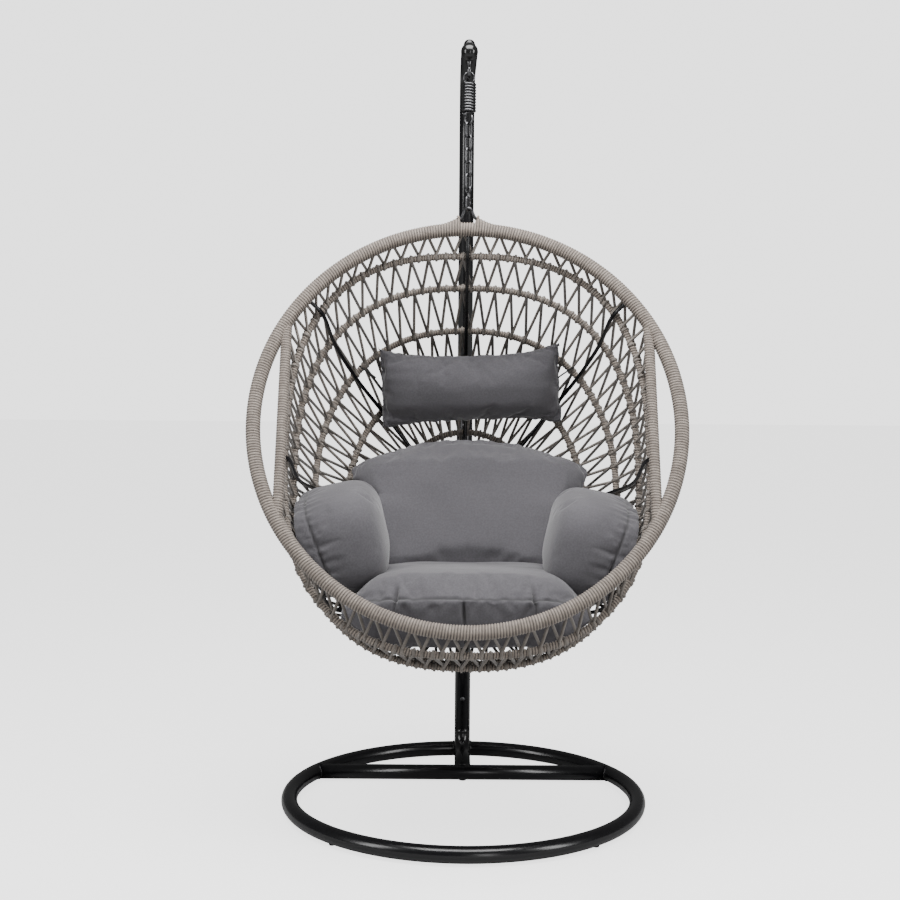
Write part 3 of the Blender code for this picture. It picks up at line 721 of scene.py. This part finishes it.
def chain_pieces():
    for number in range(1, 6):
        node = f"chain_link_{number}"
        body = "upper_link" if number == 1 else "chain"
        low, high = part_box(node)
        plane = hang_plane(CHAIN_TURN if number % 2 == 1 else -CHAIN_TURN)
        z = (low.z + high.z) / 2
        straight = (high.z - low.z) / 2 - WIRE - LINK_BEND
        top = arc((0, z + straight), LINK_BEND, 0, 180, 14, plane)
        bottom = arc((0, z - straight), LINK_BEND, 180, 360, 14, plane)
        link = tube(top + bottom, WIRE, 12, True)
        add_piece(f"steel_link_{number}", link, STEEL, body, node)


def swivel_piece():
    """The ring on the last link, with the shank that turns in the snap hook's barrel."""
    low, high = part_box("swivel_eye")
    centre_z = high.z - SWIVEL_WIRE - SWIVEL_RING
    loop = arc((0, centre_z), SWIVEL_RING, 0, 345, 24, hang_plane(-CHAIN_TURN))
    head_radius, head_height = SHANK_HEAD
    foot = low.z + head_height
    shank = [(0, low.z), (head_radius, low.z), (head_radius, foot), (SHANK_RADIUS, foot)]
    shank += [(SHANK_RADIUS, centre_z - SWIVEL_RING), (0, centre_z - SWIVEL_RING + 0.001)]
    meshes = [
        tube(loop, SWIVEL_WIRE, 12, True),
        turned(shank, (0, hang_y(), 0), (0, 0, 1), 24),
    ]
    add_piece("swivel", joined(meshes), STEEL, "chain", "swivel_eye")


def snap_hook_pieces():
    """The hook's barrel, its bent wire with the nose, and the gate that closes it."""
    plane = hang_plane(SNAP_TURN)
    barrel_z = joint("spin")["pos_m"][2]
    straight_z = barrel_z - SNAP_DROP
    barrel = [(BARREL_BORE, -0.006), (0.0060, -0.006), (0.0066, -0.005), (0.0066, -0.001)]
    barrel += [(0.0060, 0), (BARREL_BORE, 0), (BARREL_BORE, -0.006)]
    left = [plane(-out, straight_z + up) for out, up in SNAP_SHOULDER]
    right = [plane(out, straight_z + up) for out, up in SNAP_SHOULDER]
    bend_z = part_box("snap_hook")[0].z + WIRE + SNAP_HALF_WIDTH
    bottom = arc((0, bend_z), SNAP_HALF_WIDTH, 180, 350, 22, plane)
    meshes = [
        turned(barrel, (0, hang_y(), barrel_z), (0, 0, 1), 32),
        tube([*left, *bottom], WIRE, 12),
        tube(right, WIRE, 12),
    ]
    add_piece("snap_hook_body", joined(meshes), STEEL, "basket", "snap_hook")
    low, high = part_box("snap_gate")
    heel = plane(SNAP_HALF_WIDTH, low.z)
    tip = plane(SNAP_HALF_WIDTH, high.z)
    gate = tube([heel, (heel + tip) / 2, tip], GATE_WIRE, 12)
    add_piece("snap_hook_gate", gate, STEEL, "gate", "snap_gate")


def eye_piece():
    """The bent rod over the rim that the snap hook holds."""
    low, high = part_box("hanging_eye")
    base = low.z + EYE_ROD
    plane = hang_plane(0)
    left = [plane(-out, base + up) for out, up in EYE_LEG]
    right = [plane(out, base + up) for out, up in reversed(EYE_LEG)]
    crown = arc((0, high.z - EYE_ROD - EYE_CROWN), EYE_CROWN, 165, 15, 18, plane)
    line = spaced([*left, *crown, *right], 0.003, False)
    line[1:-1] = (line[:-2] + 2 * line[1:-1] + line[2:]) / 4
    add_piece("rim_eye", tube(line, EYE_ROD, 14), STEEL, "basket", "hanging_eye")


# --- Basket ---


class Loop:
    """One closed oval of the basket, taken from its part's box."""

    def __init__(self, node, tube_radius, squareness):
        low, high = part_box(node)
        self.tube = tube_radius
        self.cord_radius = tube_radius - APEX_SINK
        top = Vector((0, high.y - tube_radius, high.z - tube_radius))
        bottom = Vector((0, low.y + tube_radius, low.z + tube_radius))
        self.centre = (top + bottom) / 2
        self.half_height = (top - bottom).length / 2
        self.up = (top - bottom).normalized()
        self.half_width = high.x - tube_radius
        self.squareness = squareness

    def point(self, angle):
        across = abs(math.cos(angle) / self.half_width) ** self.squareness
        rise = abs(math.sin(angle) / self.half_height) ** self.squareness
        reach = (across + rise) ** (-1 / self.squareness)
        return self.centre + Vector((reach * math.cos(angle), 0, 0)) + self.up * reach * math.sin(angle)

    def line(self, steps):
        return [self.point(2 * math.pi * step / steps) for step in range(steps)]


class RimEdge:
    """Where the first cords are laced: the rim, or the side bar where that comes first.

    Its point at an angle lies on the rim's circle, on a ray from the middle of the first hoop.
    """

    def __init__(self, rim, first_hoop):
        self.rim = rim
        self.bar_x = middle("side_bar_right").x
        self.cord_radius = rim.tube * 0.8 - CORD_RADIUS * 2
        self.start = first_hoop.centre - (first_hoop.centre - rim.centre).project(basket_axis(rim))

    def point(self, angle):
        drop = (self.start - self.rim.centre).dot(self.rim.up) / self.rim.half_height
        wide = math.cos(angle) / self.rim.half_width
        high = math.sin(angle) / self.rim.half_height
        square = wide**2 + high**2
        reach = (-drop * high + math.sqrt((drop * high) ** 2 - square * (drop**2 - 1))) / square
        if abs(reach * math.cos(angle)) > self.bar_x:
            reach = self.bar_x / abs(math.cos(angle))
        return self.start + Vector((reach * math.cos(angle), 0, 0)) + self.rim.up * reach * math.sin(angle)


class HubEdge:
    """A small circle at the bowl's back, where the last cords end."""

    def __init__(self, rim):
        self.cord_radius = HUB_LACING_TUBE - CORD_RADIUS * 2
        self.up = rim.up
        self.centre = middle("hub_plate") + basket_axis(rim) * HUB_LACING_SHIFT

    def point(self, angle):
        across = Vector((math.cos(angle), 0, 0))
        return self.centre + (across + self.up * math.sin(angle)) * HUB_LACING_RADIUS


def basket_axis(rim):
    """The direction from the rim back into the bowl."""
    return Vector((1, 0, 0)).cross(rim.up) * -1


def basket_inside(rim):
    """A place in the middle of the bowl, which tells a surface's inside from its outside."""
    return rim.centre + basket_axis(rim) * BOWL_DEPTH / 3


def basket_loops():
    rim = Loop("front_rim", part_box("front_rim")[1].x - RIM_LINE_HALF_WIDTH, 2.0)
    hoops = []
    for number in range(1, 6):
        hoop = Loop(f"hoop_{number}", HOOP_TUBE, 2.0)
        share = (hoop.centre - rim.centre).dot(basket_axis(rim)) / BOWL_DEPTH
        hoop.squareness = FRONT_SQUARENESS * (1 - share) + BACK_SQUARENESS * share
        hoops.append(hoop)
    return rim, hoops


def raise_shoulders(data, rim):
    """Lifts the rim's wrapping where it climbs the legs of the hanging eye."""
    top = rim.centre + rim.up * rim.half_height
    for vert in data.vertices:
        out = abs(vert.co.x)
        if vert.co.z < rim.centre.z or out > SHOULDER_REACH:
            continue
        share = (SHOULDER_REACH - out) / (SHOULDER_REACH - SHOULDER_PEAK)
        lift = SHOULDER_RISE * min(share, 1.0) ** SHOULDER_CURVE
        if out < SHOULDER_PEAK:
            lift *= max(0.0, 1 - (SHOULDER_PEAK - out) / SHOULDER_FALL)
        spoke = vert.co - top
        spoke.x = 0
        share = max(0.0, spoke.normalized().z)
        vert.co += Vector((0, 0, 1)) * lift * share**1.5


def rim_pieces(rim):
    data = wound_tube(rim.line(RIM_POINTS), rim.tube + RIM_SKIN, 20, True)
    raise_shoulders(data, rim)
    add_piece("wrapped_rim", data, ROPE, "basket", "front_rim")
    add_piece("rope_tails", rope_tails(rim), ROPE, "basket")
    for name in ("side_bar_left", "side_bar_right"):
        x = middle(name).x
        half = rim.half_height * math.sqrt(1 - (x / rim.half_width) ** 2)
        start = rim.centre + Vector((x, 0, 0)) - rim.up * half
        end = rim.centre + Vector((x, 0, 0)) + rim.up * half
        bar = wound_tube([start, end], SIDE_BAR_RADIUS, 14)
        add_piece(f"wrapped_{name}", bar, ROPE, "basket", name)


def rope_tails(rim):
    """The two short rope ends that stick out where the wrapping stops at the hanging eye."""
    top = rim.centre + rim.up * rim.half_height
    tails = []
    for side in (-1, 1):
        start = Vector((side * SHOULDER_PEAK, top.y - 0.004, top.z + rim.tube + SHOULDER_RISE - 0.006))
        bend = start + Vector((side * 0.001, -0.002, 0.004))
        end = start + Vector((side * 0.004, -0.003, 0.007))
        tails.append(tube([start, bend, end], TAIL_RADIUS, 10))
    return joined(tails)


def hoop_pieces(hoops):
    for number, hoop in enumerate(hoops, 1):
        data = wound_tube(hoop.line(HOOP_POINTS), HOOP_TUBE + HOOP_SKIN, 10, True)
        add_piece(f"wrapped_hoop_{number}", data, ROPE, "basket", f"hoop_{number}")


def evenly_round(loop, count):
    """Points the same distance apart round a loop, starting half a step from its top."""
    fine = 1440
    points = [loop.point(math.pi / 2 + 2 * math.pi * step / fine) for step in range(fine + 1)]
    travelled = np.cumsum([0.0, *[(end - start).length for start, end in zip(points, points[1:])]])
    marks = (np.arange(count) + 0.5) / count * travelled[-1]
    shares = np.interp(marks, travelled, np.linspace(0, 1, fine + 1))
    return [loop.point(math.pi / 2 + 2 * math.pi * share) for share in shares]


def lacing(outer, inner, count, inside):
    """One band's cord, from loop to loop, over the front of each, round it and away behind."""
    rounds = (evenly_round(outer, 2 * count), evenly_round(inner, 2 * count))
    places = []
    for number in range(2 * count):
        here, there = (0, 1) if number % 2 == 0 else (1, 0)
        places.append((rounds[here][number], rounds[there][number], (outer, inner)[here]))
    line = []
    for number, (place, across, edge) in enumerate(places):
        along = (places[(number + 2) % len(places)][0] - places[number - 2][0]).normalized()
        towards = (across - place).normalized()
        normal = along.cross(towards).normalized()
        if normal.dot(inside - place) < 0:
            normal = -normal
        for step in range(APEX_STEPS + 1):
            share = step / APEX_STEPS
            turn = APEX_WRAP[0] * (1 - share) + APEX_WRAP[1] * share
            outward = normal * math.cos(turn) - towards * math.sin(turn)
            line.append(place + outward * edge.cord_radius)
    return tube(line, CORD_RADIUS, CORD_SIDES, True)


def cord_pieces(rim, hoops):
    edges = [RimEdge(rim, hoops[0]), *hoops, HubEdge(rim)]
    for number, count in enumerate(CORD_COUNTS, 1):
        data = lacing(edges[number - 1], edges[number], count, basket_inside(rim))
        add_piece(f"laced_cord_{number}", data, "taupe_cord", "basket", f"cord_panel_{number}")


def square_inward(start, end, inside):
    """The direction from a straight line along the bowl towards its inside, square to the line."""
    along = (end - start).normalized()
    towards = inside - start
    return (towards - along * towards.dot(along)).normalized()


def rib_line(name, rim, hoops):
    """Along the inside of the bowl from the rim over every hoop to the hub, set in by RIB_INSET."""
    fan = RIB_FANS.get(name.split("_")[1], (0.0,) * 6)
    lean = 1 if name.endswith("left") else -1
    hub = middle("hub_plate")
    line = []
    for spread, loop in zip(fan, (RimEdge(rim, hoops[0]), *hoops)):
        line.append(loop.point(math.radians(RIB_ANGLES[name] + spread * lean)))
    line.append(hub + basket_axis(rim) * RIB_INSET)
    points = []
    for before, here, after in zip(line, line[1:], line[2:]):
        first = square_inward(before, here, basket_inside(rim))
        second = square_inward(here, after, basket_inside(rim))
        normal = (first + second).normalized()
        points.append(here + normal * RIB_INSET / normal.dot(second))
    points.insert(0, line[0] + (points[0] - line[0]).normalized() * rim.tube * 0.6)
    spoke = line[-2] - line[-1]
    points.append(hub + spoke.normalized() * RIB_END_RADIUS)
    return spline(points, 8)


def rib_pieces(rim, hoops):
    for name in RIB_ANGLES:
        rib = tube(rib_line(name, rim, hoops), RIB_ROD, 12)
        add_piece(f"steel_{name}", rib, COAT, "basket", name)


def hub_piece(rim):
    profile = chamfered(HUB_RADIUS, -HUB_HALF_THICKNESS, HUB_HALF_THICKNESS, HUB_LIP)
    data = turned(profile, middle("hub_plate"), basket_axis(rim))
    add_piece("hub_disc", data, COAT, "basket", "hub_plate")


def spline(points, steps):
    """A smooth line through the points."""
    points = [points[0] * 2 - points[1], *points, points[-1] * 2 - points[-2]]
    line = []
    for before, start, end, after in zip(points, points[1:], points[2:], points[3:]):
        slope = end - before
        bend = 2 * before - 5 * start + 4 * end - after
        twist = 3 * start - before - 3 * end + after
        for step in range(steps):
            t = step / steps
            line.append(0.5 * (2 * start + slope * t + bend * t * t + twist * t**3))
    line.append(points[-2])
    return line


# --- Cushions ---


def edge_swell(a, b, power):
    """How full a pillow is at a place on its face: nothing at the border, one in the middle."""
    return max(0.0, (1 - abs(a) ** power) * (1 - abs(b) ** power)) ** 0.5


# A form takes a place on a cube, from -1 to 1 each way (a is across), and gives its place on the cushion.


def head_form(a, b, c):
    half_width, half_depth, half_height = HEAD_SIZE
    dip = 0.29 if b > 0 else 0.16
    x = half_width * a * (1 - 0.03 * (1 - b * b))
    z = half_height * b * (1 - dip * (1 - a**4))
    y = half_depth * c * (0.07 + 0.93 * edge_swell(a, b, 2.4))
    return x, y, z


def back_form(a, b, c):
    half_width, half_depth, half_height = BACK_SIZE
    top = 1 - 0.50 * abs(a) ** 2.0 if b > 0 else 1.0
    x = half_width * a * (0.90 + 0.10 * b)
    z = (half_height if b > 0 else BACK_FOOT) * b * top
    fullness = edge_swell(a, b, 5.0 if b > 0 else 9.0)
    y = half_depth * c * (0.10 + 0.90 * fullness) - BACK_CURVE * a * a
    return x, y, z


def seat_form(a, b, c):
    half_width, half_depth, half_height = SEAT_SIZE
    belly = 1 + 0.09 * (1 - c * c)
    x = half_width * a * (1 - 0.06 * (1 - b) / 2 * abs(a)) * belly
    y = half_depth * b * (1 - (0.22 * a * a if b < 0 else 0.05 * a * a)) * belly
    fullness = edge_swell(a, b, 3.6 if b < 0 else 10.0)
    top = half_height * (0.30 + 0.70 * fullness)
    foot = SEAT_FOOT * (0.80 + 0.20 * fullness)
    z = (top if c > 0 else foot) * c - SEAT_DROOP * a**4
    return x, y, z


def arm_form(a, b, c):
    """A rounded bolster, narrower towards its foot, most of all on its outer side."""
    half_width, half_depth, half_height = ARM_SIZE
    length = sum(abs(part) ** ARM_ROUNDNESS for part in (a, b, c)) ** (1 / ARM_ROUNDNESS)
    a, b, c = (part / length for part in (a, b, c))
    x = half_width * a * (1 + (0.20 if a < 0 else 0.04) * c)
    y = half_depth * b * (1 - 0.10 * c)
    z = (half_height if c > 0 else ARM_FOOT) * c
    return x, y, z


# A seam gives how far a place is from it, and how far along it that is.


def border_run(place, half_width, half_height):
    """How far along a pillow's border a place is, counted on the side it is nearest to."""
    if abs(place.x) / half_width > abs(place.z) / half_height:
        return place.z + math.copysign(3, place.x)
    return place.x + math.copysign(7, place.z)


def head_seam(place):
    return abs(place.y), border_run(place, 0.24, 0.113)


def back_seam(place):
    """Round the border, which curves forward towards the cushion's two sides."""
    curve = BACK_CURVE * (place.x / 0.30) ** 2
    return abs(place.y + curve), border_run(place, 0.31, 0.19)


def seat_seam(place):
    """Round the front and the sides a little above the middle, and none at the back."""
    if place.y > 0.12:
        return 1.0, place.y
    height = SEAT_SEAM_RISE - SEAT_DROOP * (place.x / SEAT_SIZE[0]) ** 4
    run = place.x if place.y < -0.12 else place.y
    return abs(place.z - height), run


def arm_seam(place):
    """Down the outer third of the front and over the top, as seen on the left cushion."""
    if place.y > 0.06:
        return 1.0, 0.0
    return abs(place.x + 0.040 + 0.13 * place.z), place.z + place.y


def bowl_sections(rim, hoops):
    """For each depth behind the rim: the bowl's centre height, half width, half height and squareness."""
    rows = []
    for hoop in hoops:
        offset = hoop.centre - rim.centre
        depth = offset.dot(basket_axis(rim))
        rows.append((depth, offset.dot(rim.up), hoop.half_width, hoop.half_height, hoop.squareness))
    rows.append((BOWL_DEPTH, rows[-1][1] * 0.3, 0.06, 0.06, 2.0))
    return np.array(rows)


def keep_inside(data, rim, hoops):
    """Presses a cushion's surface back where it would stand out through the cords."""
    rows = bowl_sections(rim, hoops)
    axis = np.array(basket_axis(rim))
    up = np.array(rim.up)
    places = np.array([vert.co for vert in data.vertices]) - np.array(rim.centre)
    depth = places @ axis
    height = places @ up
    centre, wide, high, square = (np.interp(depth, rows[:, 0], rows[:, column]) for column in range(1, 5))
    across = np.abs(places[:, 0] / (wide - BOWL_CLEARANCE)) ** square
    rise = np.abs((height - centre) / (high - BOWL_CLEARANCE)) ** square
    scale = 1 / np.maximum(1.0, (across + rise) ** (1 / square))
    moved = places.copy()
    moved[:, 0] *= scale
    moved += np.outer((height - centre) * (scale - 1), up)
    data.vertices.foreach_set("co", (moved + np.array(rim.centre)).ravel())


def block_mesh(form, mirror):
    """A finely divided cube, each point moved to the place the form gives it."""
    shape = bmesh.new()
    bmesh.ops.create_cube(shape, size=2.0)
    bmesh.ops.subdivide_edges(shape, edges=shape.edges[:], cuts=23, use_grid_fill=True)
    for vert in shape.verts:
        x, y, z = form(vert.co.x, vert.co.y, vert.co.z)
        vert.co = Vector((x * mirror, y, z))
    bmesh.ops.recalc_face_normals(shape, faces=shape.faces)
    return mesh_of(shape)


def apply_modifiers(obj):
    graph = bpy.context.evaluated_depsgraph_get()
    data = bpy.data.meshes.new_from_object(obj.evaluated_get(graph))
    obj.modifiers.clear()
    obj.data = data


def puff_up(obj):
    """Inflates the cloth from inside with its seams held, each point kept near its start."""
    step = obj.modifiers.new("cloth", "CLOTH")
    settings = step.settings
    settings.quality = 4
    settings.mass = 0.2
    settings.tension_stiffness = 12
    settings.compression_stiffness = 12
    settings.shear_stiffness = 4
    settings.bending_stiffness = 0.25
    settings.air_damping = 2.0
    settings.use_pressure = True
    settings.uniform_pressure_force = CLOTH_PRESSURE
    settings.shrink_min = -CLOTH_GROWTH
    settings.effector_weights.gravity = 0
    settings.vertex_group_mass = "held"
    step.collision_settings.use_collision = False
    step.point_cache.frame_end = CLOTH_FRAMES
    start = np.array([vert.co for vert in obj.data.vertices])
    for frame in range(1, CLOTH_FRAMES + 1):
        bpy.context.scene.frame_set(frame)
    apply_modifiers(obj)
    end = np.array([vert.co for vert in obj.data.vertices])
    moved = end - start
    length = np.linalg.norm(moved, axis=1, keepdims=True)
    moved *= np.minimum(1.0, CLOTH_REACH / np.maximum(length, 1e-9))
    obj.data.vertices.foreach_set("co", (start + moved).ravel())
    bpy.context.scene.frame_set(1)


def dart_depth(place, darts):
    """How deep in a dart a place on the front face is, from nothing to one."""
    deepest = 0.0
    for x, low, high, lean in darts:
        if place.y < DART_FACE and low < place.z < high:
            across = place.x - x - (place.z - low) * lean
            fade = math.sin(math.pi * (place.z - low) / (high - low))
            deepest = max(deepest, fade * math.exp(-((across / DART_WIDTH) ** 2)))
    return deepest


def press_seams(data, seam, darts, mirror):
    """Sinks the surface along seams and darts, puckers the cloth beside them, and marks them for painted shade."""
    marks = []
    moves = []
    for vert in data.vertices:
        place = Vector((vert.co.x * mirror, vert.co.y, vert.co.z))
        distance, run = seam(place)
        share = math.exp(-((distance / SEAM_WIDTH) ** 2))
        dart = dart_depth(place, darts)
        beside = math.exp(-distance / PUCKER_REACH) * (1 - share)
        move = PUCKER_HEIGHT * beside * noise.noise((run * PUCKER_RATE, distance * PUCKER_DRIFT, 0.3))
        move += LUMP_HEIGHT * noise.noise(place * LUMP_RATE) * (1 - share)
        move -= SEAM_DEPTH * share + DART_DEPTH * dart
        # Painted shade: each point is marked by how far into a seam or dart crease it lies, and the fabric darkens
        # there.
        marks.append(max(share, dart))
        moves.append(vert.normal * move)
    for vert, move in zip(data.vertices, moves):
        vert.co += move
    data.attributes.new("seam", "FLOAT", "POINT").data.foreach_set("value", marks)


def cushion(name, node, form, seam, place, basket, mirror=1, darts=()):
    """One stuffed cushion: shaped, remeshed, inflated as cloth, put in its place and seamed."""
    obj = linked(name, block_mesh(form, mirror))
    remesh = obj.modifiers.new("remesh", "REMESH")
    remesh.mode = "VOXEL"
    remesh.voxel_size = CLOTH_VOXEL
    apply_modifiers(obj)
    held = obj.vertex_groups.new(name="held")
    for vert in obj.data.vertices:
        distance = seam(Vector((vert.co.x * mirror, vert.co.y, vert.co.z)))[0]
        if distance < SEAM_HOLD:
            held.add([vert.index], 1.0, "REPLACE")
    puff_up(obj)
    obj.modifiers.new("finer", "SUBSURF")
    apply_modifiers(obj)
    obj.vertex_groups.clear()
    data = obj.data
    data.transform(place)
    keep_inside(data, *basket)
    data.transform(place.inverted())
    press_seams(data, seam, darts, mirror)
    data.transform(place)
    bpy.data.objects.remove(obj)
    add_piece(name, data, "grey_fabric", "basket", node)


def placed(node, tilt, roll, shift=(0, 0, 0)):
    """A cushion's place: the middle of its part's box, moved a little, tilted back and rolled over."""
    rotation = Matrix.Rotation(math.radians(roll), 4, "Y") @ Matrix.Rotation(math.radians(tilt), 4, "X")
    return Matrix.Translation(middle(node) + Vector(shift)) @ rotation


def cushion_pieces(basket):
    place = placed("seat_cushion", -6, 0)
    cushion("seat_pad", "seat_cushion", seat_form, seat_seam, place, basket, darts=SEAT_DARTS)
    place = placed("back_cushion", -28, 0)
    cushion("back_pad", "back_cushion", back_form, back_seam, place, basket)
    for side, label, sink in ((-1, "left", 0.012), (1, "right", 0.026)):
        node = f"arm_cushion_{label}"
        place = placed(node, 8, side * 14, (side * 0.012, 0, -sink))
        cushion(f"arm_pad_{label}", node, arm_form, arm_seam, place, basket, mirror=-side)
    place = placed("head_pillow", 12, -2.4)
    cushion("head_pad", "head_pillow", head_form, head_seam, place, basket)


def tie_pieces():
    """The cords from the head pillow's corners up to the basket."""
    for side, label in ((-1, "left"), (1, "right")):
        node = f"pillow_tie_{label}"
        low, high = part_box(node)
        inner = low.x if side > 0 else high.x
        outer = high.x if side > 0 else low.x
        line = [
            Vector((inner - side * 0.010, high.y - 0.002, low.z - 0.004)),
            Vector((inner + side * 0.006, high.y - 0.001, low.z + 0.008)),
            Vector((outer - side * 0.004, (low.y + high.y) / 2, high.z - 0.006)),
            Vector((outer + side * 0.006, low.y + 0.002, high.z + 0.002)),
        ]
        tie = tube(spline(line, 8), TIE_RADIUS, 8)
        add_piece(f"tie_cord_{label}", tie, "black_tie_cord", "basket", node)


def finish_cad_nodes():
    """The small plain parts that stay as they are take the same looks as the rest."""
    slots = {item["node"]: item["material_slot"] for item in FRAME["record"]["subparts"]}
    for node, obj in FRAME["nodes"].items():
        obj.data.materials.clear()
        obj.data.materials.append(LOOKS[slots[node]])


# --- Studio ---


def add_floor():
    shape = bmesh.new()
    bmesh.ops.create_grid(shape, x_segments=1, y_segments=1, size=FLOOR_SIZE)
    data = mesh_of(shape)
    data.materials.append(floor_look())
    linked("floor", data)


def add_softbox(name, place, target, size, power):
    data = bpy.data.lights.new(name, "AREA")
    data.shape = "RECTANGLE"
    data.size = size[0]
    data.size_y = size[1]
    data.energy = power
    lamp = linked(name, data)
    lamp.location = place
    lamp.rotation_euler = (Vector(target) - Vector(place)).to_track_quat("-Z", "Y").to_euler()


def add_sky():
    """A bright backdrop for the camera, and a dimmer even light for everything else."""
    world = bpy.data.worlds.new("studio")
    bpy.context.scene.world = world
    world.use_nodes = True
    nodes = world.node_tree.nodes
    links = world.node_tree.links
    light = nodes["Background"]
    backdrop = nodes.new("ShaderNodeBackground")
    for background, strength in ((light, SKY_LIGHT), (backdrop, BACKDROP_GLOW)):
        background.inputs["Color"].default_value = (1, 1, 1, 1)
        background.inputs["Strength"].default_value = strength
    path = nodes.new("ShaderNodeLightPath")
    mix = nodes.new("ShaderNodeMixShader")
    links.new(path.outputs["Is Camera Ray"], mix.inputs["Fac"])
    links.new(light.outputs["Background"], mix.inputs[1])
    links.new(backdrop.outputs["Background"], mix.inputs[2])
    links.new(mix.outputs["Shader"], nodes["World Output"].inputs["Surface"])


def add_studio():
    add_floor()
    add_sky()
    for name, (place, target, size, power) in SOFTBOXES.items():
        add_softbox(name, place, target, size, power)


def add_camera():
    data = bpy.data.cameras.new("camera")
    data.lens = CAMERA_LENS
    data.sensor_width = CAMERA_SENSOR
    camera = linked("camera", data)
    tilt = Matrix.Rotation(math.pi / 2 - CAMERA_DROP, 4, "X")
    camera.matrix_world = Matrix.Translation(CAMERA_PLACE) @ tilt @ Matrix.Rotation(CAMERA_ROLL, 4, "Z")
    bpy.context.scene.camera = camera


def main():
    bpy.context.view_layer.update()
    make_looks()
    finish_cad_nodes()
    base_pieces()
    glide_pieces()
    post_pieces()
    fastener_pieces()
    hook_piece()
    spring_piece()
    chain_pieces()
    swivel_piece()
    snap_hook_pieces()
    eye_piece()
    rim, hoops = basket_loops()
    rim_pieces(rim)
    hoop_pieces(hoops)
    cord_pieces(rim, hoops)
    rib_pieces(rim, hoops)
    hub_piece(rim)
    cushion_pieces((rim, hoops))
    tie_pieces()
    add_studio()
    add_camera()


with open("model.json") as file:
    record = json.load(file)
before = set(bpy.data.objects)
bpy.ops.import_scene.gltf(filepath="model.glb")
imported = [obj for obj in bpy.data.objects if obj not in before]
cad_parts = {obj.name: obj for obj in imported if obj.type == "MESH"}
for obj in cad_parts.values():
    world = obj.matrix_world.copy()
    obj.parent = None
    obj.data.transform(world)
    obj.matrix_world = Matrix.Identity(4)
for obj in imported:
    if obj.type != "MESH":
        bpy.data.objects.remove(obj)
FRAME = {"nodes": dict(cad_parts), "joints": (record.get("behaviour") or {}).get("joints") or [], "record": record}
main()
